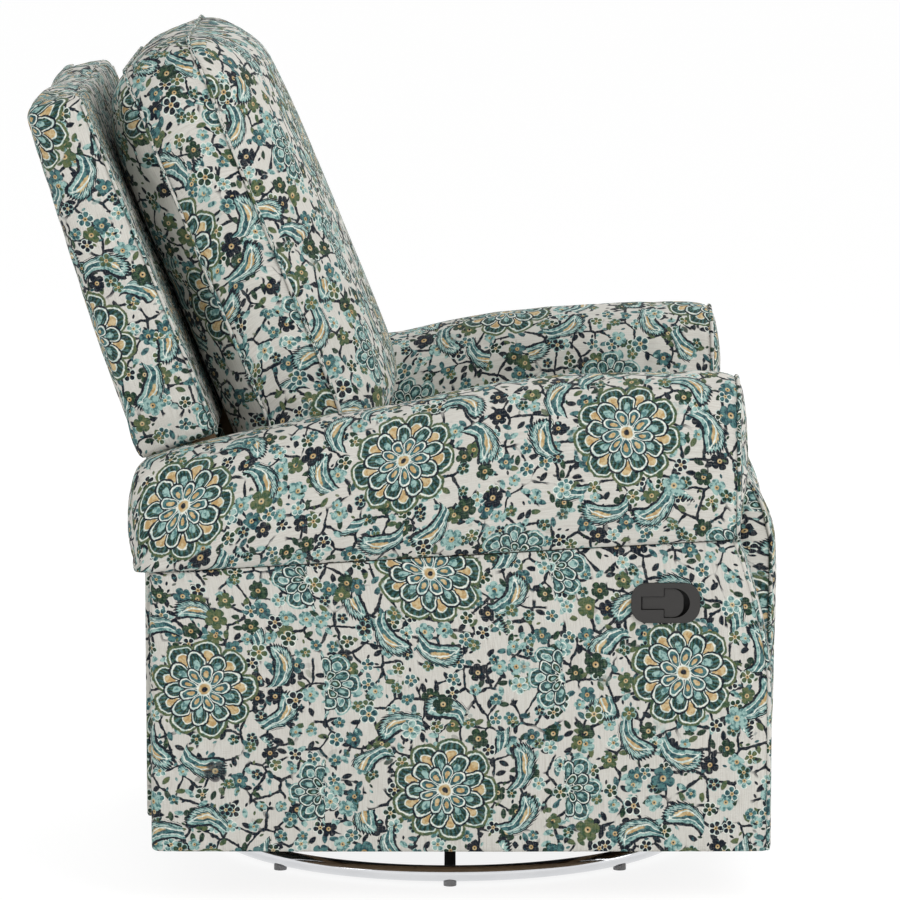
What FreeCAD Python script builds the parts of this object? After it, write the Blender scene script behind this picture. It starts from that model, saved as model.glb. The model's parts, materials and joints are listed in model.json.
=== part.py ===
import FreeCAD, Part
import math
import os
import re
import Sketcher

# Swivel glider recliner. Millimetres. +Z is up, the chair faces -Y and the sitter's left is +X.
# The origin is on the floor, midway along the chair's depth and on its plane of symmetry.
# Side views are drawn in (y, z), so a point further back has a larger y.

SIZES = {
    # Base ring and spider
    "swivel_y": -60,
    "ring_radius": 300,
    "ring_tube": 10,
    "glide_height": 5,
    "glide_radius": 8,
    "glide_count": 8,
    "arm_bar": 14,
    "hub_radius": 62,
    "hub_top": 40,
    "hub_depth": 18,
    # Swivel bearing
    "bearing_radius": 105,
    "race_inner": 68,
    "race_outer": 92,
    "race_height": 7,
    "sheet_steel": 4,
    "bolt_circle": 44,
    "bolt_radius": 4,
    "bolt_head": 7,
    "fit": 0.05,
    "seat_gap": 0.3,
    # Glider
    "platform_half": 200,
    "platform_depth": 232,
    "platform_steel": 3,
    "platform_flange": 14,
    "stand_inner": 194,
    "pivot_height": 205,
    "pivot_spread": 200,
    "swing_length": 120,
    "link_steel": 4,
    "link_half": 12,
    "layer_gap": 3,
    "pin_radius": 6,
    "pin_head": 10,
    "pin_head_height": 2,
    "rail_height": 30,
    "rail_reach": 28,
    # Seat box
    "chair_half": 405,
    "arm_inner": 268,
    "cover": 12,
    "board": 12,
    "frame_edge": 22,
    "body_bottom": 66,
    "arm_front": -448,
    "arm_rear": 302,
    "arm_bend_height": 318,
    "arm_top_front": -405,
    "arm_front_height": 448,
    "arm_rear_height": 407,
    "timber": 30,
    "side_rail_inner": 250,
    "side_rail_front": -345,
    "side_rail_height": 62,
    "seat_level": 392,
    "strap": 2,
    "strap_width": 52,
    "rear_rail_y": 150,
    "lower_rail_front": -235,
    "lower_rail_rear": 110,
    "lower_rail_height": 44,
    "lower_rail_depth": 25,
    # Arm pad
    "pad_outer": 411,
    "pad_inner": 270,
    "pad_front": -409,
    "pad_rear": 322,
    "pad_crown_x": 352,
    "pad_crown_front": 640,
    "pad_crown_top": 648,
    "pad_crown_mid": 614,
    "pad_crown_rear": 540,
    # Seat and back
    "cushion_half": 257,
    "seat_half": 262,
    "seat_front": -368,
    "seat_rear": 118,
    "seat_top": 508,
    "recline_y": 225,
    "recline_height": 330,
    "lean": 21.7,
    "shell_y": 222,
    "shell_height": 561.5,
    "shell_length": 447,
    "shell_half": 302,
    "shell_foot": 104,
    "shell_foot_rise": 4,
    "shell_head": 70,
    "shell_head_rise": 12,
    "shell_wall": 12,
    "upright_half": 220,
    "upright": 28,
    "upright_drop": 150,
    "panel_half": 261,
    "panel_rear": 319.5,
    "panel_thick": 29,
    "panel_bottom": 72,
    "hinge_pin": 8,
    "hinge_plate_inner": 234,
    # Back cushion
    "boxing": 90,
    "front_crown": 60,
    "back_foot_y": 45,
    "back_foot_height": 513,
    "back_low_y": 80,
    "back_low_height": 597,
    "back_high_y": 230,
    "back_high_height": 942,
    "back_top_height": 1048,
    # Footrest and its links
    "plate_inner": 247,
    "layer_pitch": 5.5,
    "crank_y": -292,
    "crank_height": 294,
    "crank_length": 124,
    "crank_angle": 266,
    "crank_tail": 172,
    "crank_tail_side": 9,
    "lift_length": 214,
    "lift_angle": 103.5,
    "guide_y": -338,
    "guide_height": 217,
    "lift_ear": 17,
    "lift_ear_side": 34,
    "tilt_behind": 10,
    "tilt_below": 35,
    "link_width": 22,
    "rivet": 5,
    "rivet_head": 8,
    "rivet_head_height": 1.2,
    "guide_play": 2.2,
    "tilt_play": 5.2,
    "tube_side": 18,
    "latch_y": -220,
    "latch_height": 266,
    "board_front": -392,
    "board_thick": 15,
    "board_bottom": 92,
    "board_top": 480,
    "footrest_bottom": 72,
    "footrest_top": 505,
    "footrest_front": -459,
    # Release handle
    "cup_y": -320,
    "cup_height": 373,
    "cup_length": 83,
    "cup_tall": 49,
    "cup_corner": 19,
    "cup_lip": 2.5,
    "cup_lip_width": 4,
    "cup_depth": 24,
    "cup_wall": 2,
    "paddle_inset": 7,
    "paddle_from_end": 13.5,
    "paddle_thick": 4,
    "paddle_barrel": 4.5,
    "paddle_trunnion": 2.5,
    "trunnion_inset": 6.9,
    "barrel_inset": 11.5,
    "stem_tall": 15,
    "stem_length": 22.5,
    "flap_tall": 35,
    "flap_length": 23,
    "cable_radius": 2.5,
}

doc = FreeCAD.newDocument("recliner")
sheet = doc.addObject("Spreadsheet::Sheet", "Sizes")
for row, (alias, number) in enumerate(SIZES.items(), start=1):
    sheet.set("A%d" % row, alias)
    sheet.set("B%d" % row, str(number))
    sheet.setAlias("B%d" % row, alias)
doc.recompute()

V = FreeCAD.Vector
X = V(1, 0, 0)
Y = V(0, 1, 0)
Z = V(0, 0, 1)
nodes = []


def value(words):
    """The number that an expression of the sheet's names gives."""
    return float(sheet.evalExpression(str(words)))


def linked(words):
    """The same expression with each name pointing at its cell."""
    return re.sub(r"[a-z_]+", lambda hit: "Sizes." + hit[0] if hit[0] in SIZES else hit[0], str(words))


def bind(thing, prop, words):
    thing.setExpression(prop, linked(words))


def node(thing, label):
    """Marks an object as one of the chair's pieces."""
    thing.Label = label
    nodes.append(thing)
    return thing


def move(thing, x=0, y=0, z=0):
    for axis, words in zip("xyz", (x, y, z)):
        bind(thing, "Placement.Base." + axis, words)


def turn(thing, axis, words):
    thing.Placement = FreeCAD.Placement(thing.Placement.Base, FreeCAD.Rotation(axis, 1))
    bind(thing, "Placement.Rotation.Angle", words)


# Solid primitives, each bound to the sheet

def box(x, y, z, length, width, height, name="box"):
    solid = doc.addObject("Part::Box", name)
    bind(solid, "Length", length)
    bind(solid, "Width", width)
    bind(solid, "Height", height)
    move(solid, x, y, z)
    return solid


def rod(x, y, z, radius, height, axis=Z, name="rod"):
    solid = doc.addObject("Part::Cylinder", name)
    bind(solid, "Radius", radius)
    bind(solid, "Height", height)
    if axis is not Z:
        turned = FreeCAD.Rotation(Z, axis)
        solid.Placement = FreeCAD.Placement(V(0, 0, 0), turned)
    move(solid, x, y, z)
    return solid


def fused(parts, name="joined"):
    solid = doc.addObject("Part::MultiFuse", name)
    solid.Shapes = parts
    return solid


def cut(base, tools, name="trimmed"):
    tool = tools[0] if len(tools) == 1 else fused(tools, "tools")
    solid = doc.addObject("Part::Cut", name)
    solid.Base = base
    solid.Tool = tool
    return solid


def group(parts, name="set"):
    compound = doc.addObject("Part::Compound", name)
    compound.Links = parts
    return compound


def reflection(source, name="right"):
    copy = doc.addObject("Part::Mirroring", name)
    copy.Source = source
    copy.Normal = X
    return copy


def mirrored(source, label):
    """The same piece on the sitter's right."""
    return node(reflection(source, label), label)


def pair(label, parts):
    """One node that holds pieces of both sides."""
    return node(group(parts + [reflection(part) for part in parts], label), label)


# Sketched solids

def new_body(name):
    return doc.addObject("PartDesign::Body", name)


def sketch(body, plane, offset=None):
    drawing = body.newObject("Sketcher::SketchObject", "outline")
    origin = [f for f in body.Origin.OriginFeatures if f.Role == plane + "_Plane"][0]
    drawing.AttachmentSupport = [(origin, "")]
    drawing.MapMode = "FlatFace"
    if offset is not None:
        bind(drawing, "AttachmentOffset.Base.z", offset)
    return drawing


def place_point(drawing, geometry, end, a, b):
    for kind, words in (("DistanceX", a), ("DistanceY", b)):
        index = drawing.addConstraint(Sketcher.Constraint(kind, -1, 1, geometry, end, value(words)))
        bind(drawing, "Constraints[%d]" % index, words)


def polygon(drawing, points):
    """A closed outline whose corners are all tied to the sheet."""
    first = drawing.GeometryCount
    corners = [V(value(a), value(b), 0) for a, b in points]
    count = len(points)
    for i in range(count):
        drawing.addGeometry(Part.LineSegment(corners[i], corners[(i + 1) % count]), False)
    for i in range(count):
        drawing.addConstraint(Sketcher.Constraint("Coincident", first + i, 2, first + (i + 1) % count, 1))
    for i, (a, b) in enumerate(points):
        place_point(drawing, first + i, 1, a, b)
    return drawing


def rectangle(drawing, a0, b0, a1, b1):
    return polygon(drawing, [(a0, b0), (a1, b0), (a1, b1), (a0, b1)])


def circle(drawing, a, b, radius):
    index = drawing.addGeometry(Part.Circle(V(value(a), value(b), 0), Z, value(radius)), False)
    place_point(drawing, index, 3, a, b)
    rule = drawing.addConstraint(Sketcher.Constraint("Radius", index, value(radius)))
    bind(drawing, "Constraints[%d]" % rule, radius)
    return drawing


def capsule(drawing, a0, b0, a1, b1, radius):
    """Two round ends about two centres, joined by their tangents."""
    first = drawing.GeometryCount
    start = V(value(a0), value(b0), 0)
    end = V(value(a1), value(b1), 0)
    size = value(radius)
    along = (end - start).normalize()
    side = V(-along.y, along.x, 0) * size
    heading = math.atan2(along.y, along.x)
    drawing.addGeometry(Part.ArcOfCircle(Part.Circle(start, Z, size), heading + math.pi / 2,
                                         heading + 3 * math.pi / 2), False)
    drawing.addGeometry(Part.LineSegment(start - side, end - side), False)
    drawing.addGeometry(Part.ArcOfCircle(Part.Circle(end, Z, size), heading - math.pi / 2,
                                         heading + math.pi / 2), False)
    drawing.addGeometry(Part.LineSegment(end + side, start + side), False)
    for one, other in ((0, 1), (1, 2), (2, 3), (3, 0)):
        drawing.addConstraint(Sketcher.Constraint("Tangent", first + one, 2, first + other, 1))
    place_point(drawing, first, 3, a0, b0)
    place_point(drawing, first + 2, 3, a1, b1)
    rule = drawing.addConstraint(Sketcher.Constraint("Radius", first, size))
    bind(drawing, "Constraints[%d]" % rule, radius)
    return drawing


def pad(body, drawing, length, reverse=False, both=False):
    feature = body.newObject("PartDesign::Pad", "pad")
    feature.Profile = drawing
    bind(feature, "Length", length)
    feature.Reversed = reverse
    feature.Midplane = both
    doc.recompute()
    return feature


def pocket(body, drawing, length, reverse=True):
    """Removes material from the sketch towards its normal, or away from it with reverse off."""
    before = body.Shape.Volume
    feature = body.newObject("PartDesign::Pocket", "pocket")
    feature.Profile = drawing
    bind(feature, "Length", length)
    feature.Reversed = reverse
    doc.recompute()
    if body.Shape.Volume > before - 1:
        raise ValueError("%s: a pocket removed nothing" % body.Name)
    return feature


def rounded(body, axis, radius, keep=lambda point: True):
    """Rounds the straight edges that run along an axis."""
    names = []
    for number, edge in enumerate(body.Shape.Edges, start=1):
        ends = [vertex.Point for vertex in edge.Vertexes]
        if len(ends) < 2 or edge.Curve.TypeId != "Part::GeomLine":
            continue
        run = (ends[1] - ends[0]).normalize()
        if abs(run.dot(axis)) > 0.999 and keep((ends[0] + ends[1]) * 0.5):
            names.append("Edge%d" % number)
    base_feature = body.Tip
    feature = body.newObject("PartDesign::Fillet", "fillet")
    feature.Base = (base_feature, names)
    bind(feature, "Radius", radius)
    doc.recompute()
    return feature


def plate(name, inner, thickness, outline, holes=(), corner=None):
    """A flat plate seen from the side, with holes given as (y, z, radius)."""
    body = new_body(name)
    drawing = sketch(body, "YZ", inner)
    polygon(drawing, outline)
    pad(body, drawing, thickness)
    if corner is not None:
        rounded(body, X, corner)
    if holes:
        drilled = sketch(body, "YZ", inner)
        for y, z, radius in holes:
            circle(drilled, y, z, radius)
        pocket(body, drilled, thickness)
    return body


def link(name, inner, centres, half, holes=(), thickness="link_steel"):
    """A pressed link: round-ended bars between centres, with holes given as (y, z, radius)."""
    body = new_body(name)
    for start, end in zip(centres, centres[1:]):
        drawing = sketch(body, "YZ", inner)
        capsule(drawing, *start, *end, half)
        pad(body, drawing, thickness)
    if holes:
        drilled = sketch(body, "YZ", inner)
        for y, z, radius in holes:
            circle(drilled, y, z, radius)
        pocket(body, drilled, thickness)
    return body


def stud(body, y, z, radius, start, length, reverse=False):
    """A round stud on a body, along X."""
    drawing = sketch(body, "YZ", start)
    circle(drawing, y, z, radius)
    pad(body, drawing, length, reverse)


def pin(x, y, z, radius, length, head, head_height, inward=False):
    """A headed pin along X whose head is at the far end, towards +X or, with inward, towards -X."""
    shank = rod(x, y, z, radius, length, X, "shank")
    head_x = "%s - (%s)" % (x, head_height) if inward else "%s + %s" % (x, length)
    cap = rod(head_x, y, z, head, head_height, X, "head")
    return fused([shank, cap], "pin")


# Places worked out from the sizes

RING_HEIGHT = "(glide_height + ring_tube)"
LOWER_PLATE = "hub_top"
RACE = "(hub_top + sheet_steel)"
UPPER_PLATE = "(hub_top + sheet_steel + race_height)"
PLATFORM = "(hub_top + 2 * sheet_steel + race_height)"
PLATFORM_TOP = "(hub_top + 2 * sheet_steel + race_height + platform_steel)"
PIVOT_YS = ("(swivel_y - pivot_spread / 2)", "(swivel_y + pivot_spread / 2)")
SWING_INNER = "(stand_inner + link_steel + layer_gap)"
RAIL_INNER = "(stand_inner + 2 * link_steel + 2 * layer_gap)"
LOWER_PIVOT = "(pivot_height - swing_length)"
FRAME_INNER = "(arm_inner + cover)"
FRAME_OUTER = "(chair_half - cover)"
SIDE_RAIL_TOP = "seat_level"
ELBOW = ("(crank_y + crank_length * cos(crank_angle))", "(crank_height + crank_length * sin(crank_angle))")
KNEE = ("(%s + lift_length * cos(lift_angle))" % ELBOW[0], "(%s + lift_length * sin(lift_angle))" % ELBOW[1])
EAR = ("(%s - lift_ear * cos(lift_angle) - lift_ear_side * sin(lift_angle))" % ELBOW[0],
       "(%s - lift_ear * sin(lift_angle) + lift_ear_side * cos(lift_angle))" % ELBOW[1])
TAIL = ("(crank_y + crank_tail * cos(crank_angle) - crank_tail_side * sin(crank_angle))",
        "(crank_height + crank_tail * sin(crank_angle) + crank_tail_side * cos(crank_angle))")
TOE = ("(%s + tilt_behind)" % KNEE[0], "(%s - tilt_below)" % KNEE[1])
PADDLE_X = "(0 - chair_half + paddle_inset)"
PADDLE_Y = "(cup_y + cup_length / 2 - paddle_from_end)"


def layer(number):
    """Inner face of a link layer, counted inwards from the mechanism plate."""
    return "(plate_inner - %d * layer_pitch)" % number


# Base

def base():
    ring = doc.addObject("Part::Torus", "base_ring")
    bind(ring, "Radius1", "ring_radius")
    bind(ring, "Radius2", "ring_tube")
    move(ring, 0, "swivel_y", RING_HEIGHT)
    node(ring, "base_ring")

    pads = []
    reach = "(glide_radius + 2)"
    for number in range(int(value("glide_count"))):
        angle = number * 360 / value("glide_count")
        cosine, sine = "cos(%g)" % angle, "sin(%g)" % angle
        blank = rod("ring_radius * " + cosine, "swivel_y + ring_radius * " + sine, 0,
                    "glide_radius", "glide_height + ring_tube / 2", name="glide")
        along = V(-math.sin(math.radians(angle)), math.cos(math.radians(angle)), 0)
        saddle = rod("ring_radius * %s + %s * %s" % (cosine, reach, sine),
                     "swivel_y + ring_radius * %s - %s * %s" % (sine, reach, cosine), RING_HEIGHT,
                     "ring_tube + seat_gap", "2 * " + reach, along, "saddle")
        pads.append(cut(blank, [saddle], "glide"))
    node(group(pads, "foot_pads"), "foot_pads")

    spider = new_body("spider_steel")
    drawing = sketch(spider, "XZ")
    low, high = "glide_height + ring_tube / 2", "glide_height + 2 * ring_tube - 3"
    neck, tip = "ring_radius - ring_tube - 5", "ring_radius - 2"
    polygon(drawing, [
        ("0 - hub_radius / 2", "hub_top - hub_depth + 2"), ("hub_radius", "hub_top - hub_depth"),
        (neck, low), (tip, low), (tip, high), (neck, high),
        ("hub_radius + hub_depth", "hub_top"), ("0 - hub_radius / 2", "hub_top")])
    arm = pad(spider, drawing, "arm_bar", both=True)
    pattern = spider.newObject("PartDesign::PolarPattern", "four_arms")
    pattern.Originals = [arm]
    pattern.Axis = ([f for f in spider.Origin.OriginFeatures if f.Role == "Z_Axis"][0], [""])
    pattern.Angle = 360
    pattern.Occurrences = 4
    spider.Tip = pattern
    doc.recompute()
    hub = sketch(spider, "XY", "hub_top - hub_depth")
    circle(hub, 0, 0, "hub_radius")
    pad(spider, hub, "hub_depth")
    drilled = sketch(spider, "XY", "hub_top - hub_depth")
    for number in range(4):
        angle = 45 + 90 * number
        circle(drilled, "bolt_circle * cos(%d)" % angle, "bolt_circle * sin(%d)" % angle, "bolt_radius + fit")
    pocket(spider, drilled, "hub_depth")
    move(spider, 0, "swivel_y", 0)
    bed = doc.addObject("Part::Torus", "bed")
    bind(bed, "Radius1", "ring_radius")
    bind(bed, "Radius2", "ring_tube + seat_gap")
    move(bed, 0, "swivel_y", RING_HEIGHT)
    node(cut(spider, [bed], "base_spider"), "base_spider")


def bolt_ring(z, length, head_height):
    """Four bolts about the swivel axis, heads up."""
    bolts = []
    for number in range(4):
        angle = 45 + 90 * number
        x = "bolt_circle * cos(%d)" % angle
        y = "swivel_y + bolt_circle * sin(%d)" % angle
        shank = rod(x, y, z, "bolt_radius", length, name="shank")
        head = rod(x, y, "%s + %s" % (z, length), "bolt_head", head_height, name="head")
        bolts.append(fused([shank, head], "bolt"))
    return bolts


def bearing():
    for label, height in (("bearing_lower_plate", LOWER_PLATE), ("bearing_upper_plate", UPPER_PLATE)):
        body = new_body(label)
        drawing = sketch(body, "XY")
        circle(drawing, 0, 0, "bearing_radius")
        pad(body, drawing, "sheet_steel")
        drilled = sketch(body, "XY")
        for number in range(4):
            angle = 45 + 90 * number
            circle(drilled, "bolt_circle * cos(%d)" % angle, "bolt_circle * sin(%d)" % angle,
                   "bolt_radius + fit")
        pocket(body, drilled, "sheet_steel")
        move(body, 0, "swivel_y", height)
        node(body, label)
    outer = rod(0, "swivel_y", RACE, "race_outer", "race_height", name="race")
    inner = rod(0, "swivel_y", RACE, "race_inner", "race_height", name="race_bore")
    node(cut(outer, [inner], "bearing_race"), "bearing_race")
    bolts = bolt_ring("(hub_top - hub_depth)", "(hub_depth + sheet_steel)", "4")
    node(group(bolts, "base_bolts"), "base_bolts")


# Glider

def platform():
    body = new_body("glider_platform")
    drawing = sketch(body, "XY", PLATFORM)
    rectangle(drawing, "0 - platform_half", "swivel_y - platform_depth / 2",
              "platform_half", "swivel_y + platform_depth / 2")
    pad(body, drawing, "platform_steel")
    for edge in ("swivel_y - platform_depth / 2", "swivel_y + platform_depth / 2 - platform_steel"):
        flange = sketch(body, "XY", PLATFORM)
        rectangle(flange, "30 - stand_inner", edge, "stand_inner - 30", "%s + platform_steel" % edge)
        pad(body, flange, "platform_flange")
    drilled = sketch(body, "XY", PLATFORM)
    for number in range(4):
        angle = 45 + 90 * number
        circle(drilled, "bolt_circle * cos(%d)" % angle, "swivel_y + bolt_circle * sin(%d)" % angle,
               "bolt_radius + fit")
    pocket(body, drilled, "platform_steel")
    node(body, "glider_platform")
    bolts = bolt_ring(UPPER_PLATE, "(sheet_steel + platform_steel)", "5")
    node(group(bolts, "platform_bolts"), "platform_bolts")


def glide_stand():
    """Upright plate with two pivot ears and a foot flange, on the sitter's left."""
    front = "(swivel_y - platform_depth / 2)"
    rear = "(swivel_y + platform_depth / 2)"
    top = "(pivot_height + 16)"
    waist = "(pivot_height - 58)"
    stand = plate("glide_stand_left", "stand_inner", "link_steel", [
        (front, PLATFORM_TOP), (rear, PLATFORM_TOP), (rear, top), ("%s - 32" % rear, top),
        ("%s - 62" % rear, waist), ("%s + 62" % front, waist), ("%s + 32" % front, top), (front, top)],
        [(y, "pivot_height", "pin_radius + fit") for y in PIVOT_YS], corner="10")
    window = sketch(stand, "YZ", "stand_inner")
    sill, head = "%s + 26" % PLATFORM_TOP, "%s - 22" % waist
    polygon(window, [(front + " + 36", sill), (rear + " - 36", sill),
                     (rear + " - 62", head), (front + " + 62", head)])
    pocket(stand, window, "link_steel")
    foot = sketch(stand, "XY", PLATFORM_TOP)
    rectangle(foot, "stand_inner - 22", "%s + 14" % front, "stand_inner + 1", "%s - 14" % rear)
    pad(stand, foot, "link_steel")
    node(stand, "glide_stand_left")
    mirrored(stand, "glide_stand_right")


def swing_links():
    for place, y in zip(("front", "rear"), PIVOT_YS):
        name = "swing_link_%s_left" % place
        bar = link(name, SWING_INNER, [(y, "pivot_height"), (y, LOWER_PIVOT)], "link_half", [
            (y, "pivot_height", "pin_radius + fit"), (y, LOWER_PIVOT, "pin_radius + fit")])
        node(bar, name)
        mirrored(bar, "swing_link_%s_right" % place)


def link_pins():
    """Shouldered rivets of the swing links: the upper ones on the stands, the lower ones on the rails."""
    reach = "(2 * link_steel + layer_gap + 0.5)"
    pair("upper_link_pins", [pin("stand_inner", y, "pivot_height", "pin_radius", reach, "pin_head",
                                 "pin_head_height") for y in PIVOT_YS])
    start = "(%s - layer_gap - link_steel - 0.5)" % RAIL_INNER
    pair("lower_link_pins", [pin(start, y, LOWER_PIVOT, "pin_radius", reach, "pin_head",
                                 "pin_head_height", inward=True) for y in PIVOT_YS])


def glide_rail():
    low, high = "%s - rail_height / 2" % LOWER_PIVOT, "%s + rail_height / 2" % LOWER_PIVOT
    front, rear = "lower_rail_front", "lower_rail_rear"
    rail = plate("glide_rail_left", RAIL_INNER, "link_steel",
                 [(front, low), (rear, low), (rear, high), (front, high)],
                 [(y, LOWER_PIVOT, "pin_radius + fit") for y in PIVOT_YS])
    for edge in (front, rear + " - link_steel"):
        tab = sketch(rail, "XY", low)
        rectangle(tab, "%s + 1" % RAIL_INNER, edge, "%s + rail_reach" % RAIL_INNER, "%s + link_steel" % edge)
        pad(rail, tab, "rail_height")
    lip = sketch(rail, "XY", high + " - link_steel")
    rectangle(lip, "%s + 1" % RAIL_INNER, front, "%s + rail_reach" % RAIL_INNER, rear)
    pad(rail, lip, "link_steel")
    node(rail, "glide_rail_left")
    mirrored(rail, "glide_rail_right")


# Seat box

def arm_outline(inset):
    """Side outline of the arm below its pad, drawn in by an inset except along the top."""
    slope = "((arm_front_height - arm_rear_height) / (arm_rear - arm_top_front))"
    rear_top = "arm_rear_height + %s * %s" % (inset, slope)
    front_top = "arm_front_height - %s * %s" % (inset, slope)
    return [("arm_front + %s" % inset, "body_bottom"), ("arm_front + %s" % inset, "arm_bend_height"),
            ("arm_top_front + %s" % inset, front_top), ("arm_rear - %s" % inset, rear_top),
            ("arm_rear - %s" % inset, "body_bottom")]


def arm_frame():
    """Timber frame: two boards with blocks between them all round."""
    frame = new_body("arm_frame_left")
    outline = sketch(frame, "YZ", FRAME_INNER)
    polygon(outline, arm_outline("(cover + fit)"))
    pad(frame, outline, "%s - %s" % (FRAME_OUTER, FRAME_INNER))
    rounded(frame, X, "150", lambda p: abs(p.z - value("arm_bend_height")) < 1)
    front = "(arm_front + cover + frame_edge)"
    rear = "(arm_rear - cover - frame_edge)"
    floor = "body_bottom + frame_edge"
    hollow = [(front, floor), (rear, floor), (rear, "arm_rear_height - frame_edge"),
              ("arm_top_front + cover + frame_edge", "arm_front_height - frame_edge - 4"),
              (front, "arm_bend_height - 4")]
    cavity = sketch(frame, "YZ", "%s + board" % FRAME_INNER)
    polygon(cavity, hollow)
    pocket(frame, cavity, "%s - %s - 2 * board" % (FRAME_OUTER, FRAME_INNER))
    window = sketch(frame, "YZ", FRAME_INNER)
    rectangle(window, "%s + 30" % front, floor + " + 24", "%s - 40" % rear,
              "seat_level - side_rail_height - 16")
    pocket(frame, window, "board")
    light = sketch(frame, "YZ", "%s - board" % FRAME_OUTER)
    rectangle(light, "0 - 220", floor + " + 24", "%s - 40" % rear, "arm_rear_height - 70")
    pocket(frame, light, "board")
    drilled = sketch(frame, "YZ", FRAME_INNER)
    for y in BOLT_YS:
        circle(drilled, y, "seat_level - side_rail_height / 2", "bolt_radius + fit")
    pocket(frame, drilled, "board")
    return frame


BOLT_YS = ("0 - 120", "120")


def cup_block(x, depth, inset):
    """A rounded block along X in the shape of the handle's cup, drawn in by an inset."""
    body = new_body("cup_block")
    outline = sketch(body, "YZ", x)
    rectangle(outline, "cup_y - cup_length / 2 + %s" % inset, "cup_height - cup_tall / 2 + %s" % inset,
              "cup_y + cup_length / 2 - %s" % inset, "cup_height + cup_tall / 2 - %s" % inset)
    pad(body, outline, depth)
    rounded(body, X, "cup_corner - %s" % inset)
    return body


def arms():
    frame = arm_frame()
    node(frame, "arm_frame_left")
    hole = cup_block("0 - chair_half - 5", "cup_depth + 20", "(cup_lip_width - fit)")
    node(cut(reflection(frame), [hole], "arm_frame_right"), "arm_frame_right")

    cover = new_body("arm_cover_left")
    outline = sketch(cover, "YZ", "arm_inner")
    polygon(outline, arm_outline("0"))
    pad(cover, outline, "chair_half - arm_inner")
    rounded(cover, X, "162", lambda p: abs(p.z - value("arm_bend_height")) < 1)
    rounded(cover, X, "18", lambda p: p.y > 0 and p.z < value("body_bottom") + 1)
    inside = sketch(cover, "YZ", FRAME_INNER)
    polygon(inside, arm_outline("cover")[1:4] + [("arm_rear - cover", "body_bottom - 1"),
                                                ("arm_front + cover", "body_bottom - 1")])
    pocket(cover, inside, "%s - %s" % (FRAME_OUTER, FRAME_INNER))
    under = sketch(cover, "YZ", "arm_inner")
    rectangle(under, "arm_front + cover", "body_bottom - 1", "arm_rear + 1", "seat_level")
    pocket(cover, under, "cover")
    node(cover, "arm_cover_left")
    node(cut(reflection(cover), [hole], "arm_cover_right"), "arm_cover_right")


def rails():
    front = box("0 - plate_inner", "side_rail_front + 35", "seat_level - timber", "2 * plate_inner",
                "timber + 10", "timber", "front_rail")
    node(front, "front_rail")
    rear = box("0 - side_rail_inner", "rear_rail_y", "seat_level - timber", "2 * side_rail_inner",
               "timber", "timber", "rear_rail")
    node(rear, "rear_rail")

    side = new_body("side_rail")
    outline = sketch(side, "YZ", "side_rail_inner")
    polygon(outline, [("side_rail_front", "seat_level - side_rail_height"),
                      ("recline_y", "seat_level - side_rail_height"), ("recline_y", "seat_level"),
                      ("side_rail_front", "seat_level")])
    pad(side, outline, "%s - side_rail_inner" % FRAME_INNER)
    heel = sketch(side, "YZ", "side_rail_inner")
    circle(heel, "recline_y", "recline_height", "timber")
    pad(side, heel, "%s - side_rail_inner" % FRAME_INNER)
    drilled = sketch(side, "YZ", "side_rail_inner")
    circle(drilled, "recline_y", "recline_height", "hinge_pin + fit")
    for y in BOLT_YS:
        circle(drilled, y, "seat_level - side_rail_height / 2", "bolt_radius + fit")
    pocket(side, drilled, "%s - side_rail_inner" % FRAME_INNER)
    pair("seat_side_rails", [side])

    low = []
    for y in ("lower_rail_front - lower_rail_depth", "lower_rail_rear"):
        low.append(box("0 - %s" % FRAME_INNER, y, "body_bottom + 4", "2 * %s" % FRAME_INNER,
                       "lower_rail_depth", "lower_rail_height", "lower_rail"))
    node(group(low, "lower_rails"), "lower_rails")

    through = "%s - side_rail_inner + board" % FRAME_INNER
    height = "seat_level - side_rail_height / 2"
    pair("frame_bolts", [pin("side_rail_inner", y, height, "bolt_radius", through, "bolt_head + 1", "3",
                             inward=True) for y in BOLT_YS])


def webbing():
    """Straps from the front rail to the rear rail, with cross straps laid on them."""
    straps = []
    for number in range(5):
        x = "%d * 92 - strap_width / 2" % (number - 2)
        straps.append(box(x, "side_rail_front + 40", "seat_level", "strap_width",
                          "rear_rail_y + timber - 5 - side_rail_front - 40", "strap", "strap"))
    for number in range(4):
        y = "side_rail_front + 95 + %d * 100" % number
        straps.append(box("2 - arm_inner", y, "seat_level + strap", "2 * arm_inner - 4", "strap_width",
                          "strap", "strap"))
    node(group(straps, "seat_webbing"), "seat_webbing")


# Soft forms: lofts through closed outlines of lines and arcs

def bowed(start, end, rise, out):
    """An arc between two points that stands out by a rise towards a direction, or a line."""
    if abs(rise) < 0.01:
        return Part.makeLine(start, end)
    middle = (start + end) * 0.5 + out * rise
    return Part.Arc(start, middle, end).toShape()


def soft(label, sections):
    """A closed soft solid through its sections."""
    shape = Part.makeLoft(sections, True, True)
    if shape.Volume < 0:
        shape.reverse()
    piece = doc.addObject("Part::Feature", label)
    piece.Shape = shape
    piece.Placement = FreeCAD.Placement()
    return piece


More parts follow.
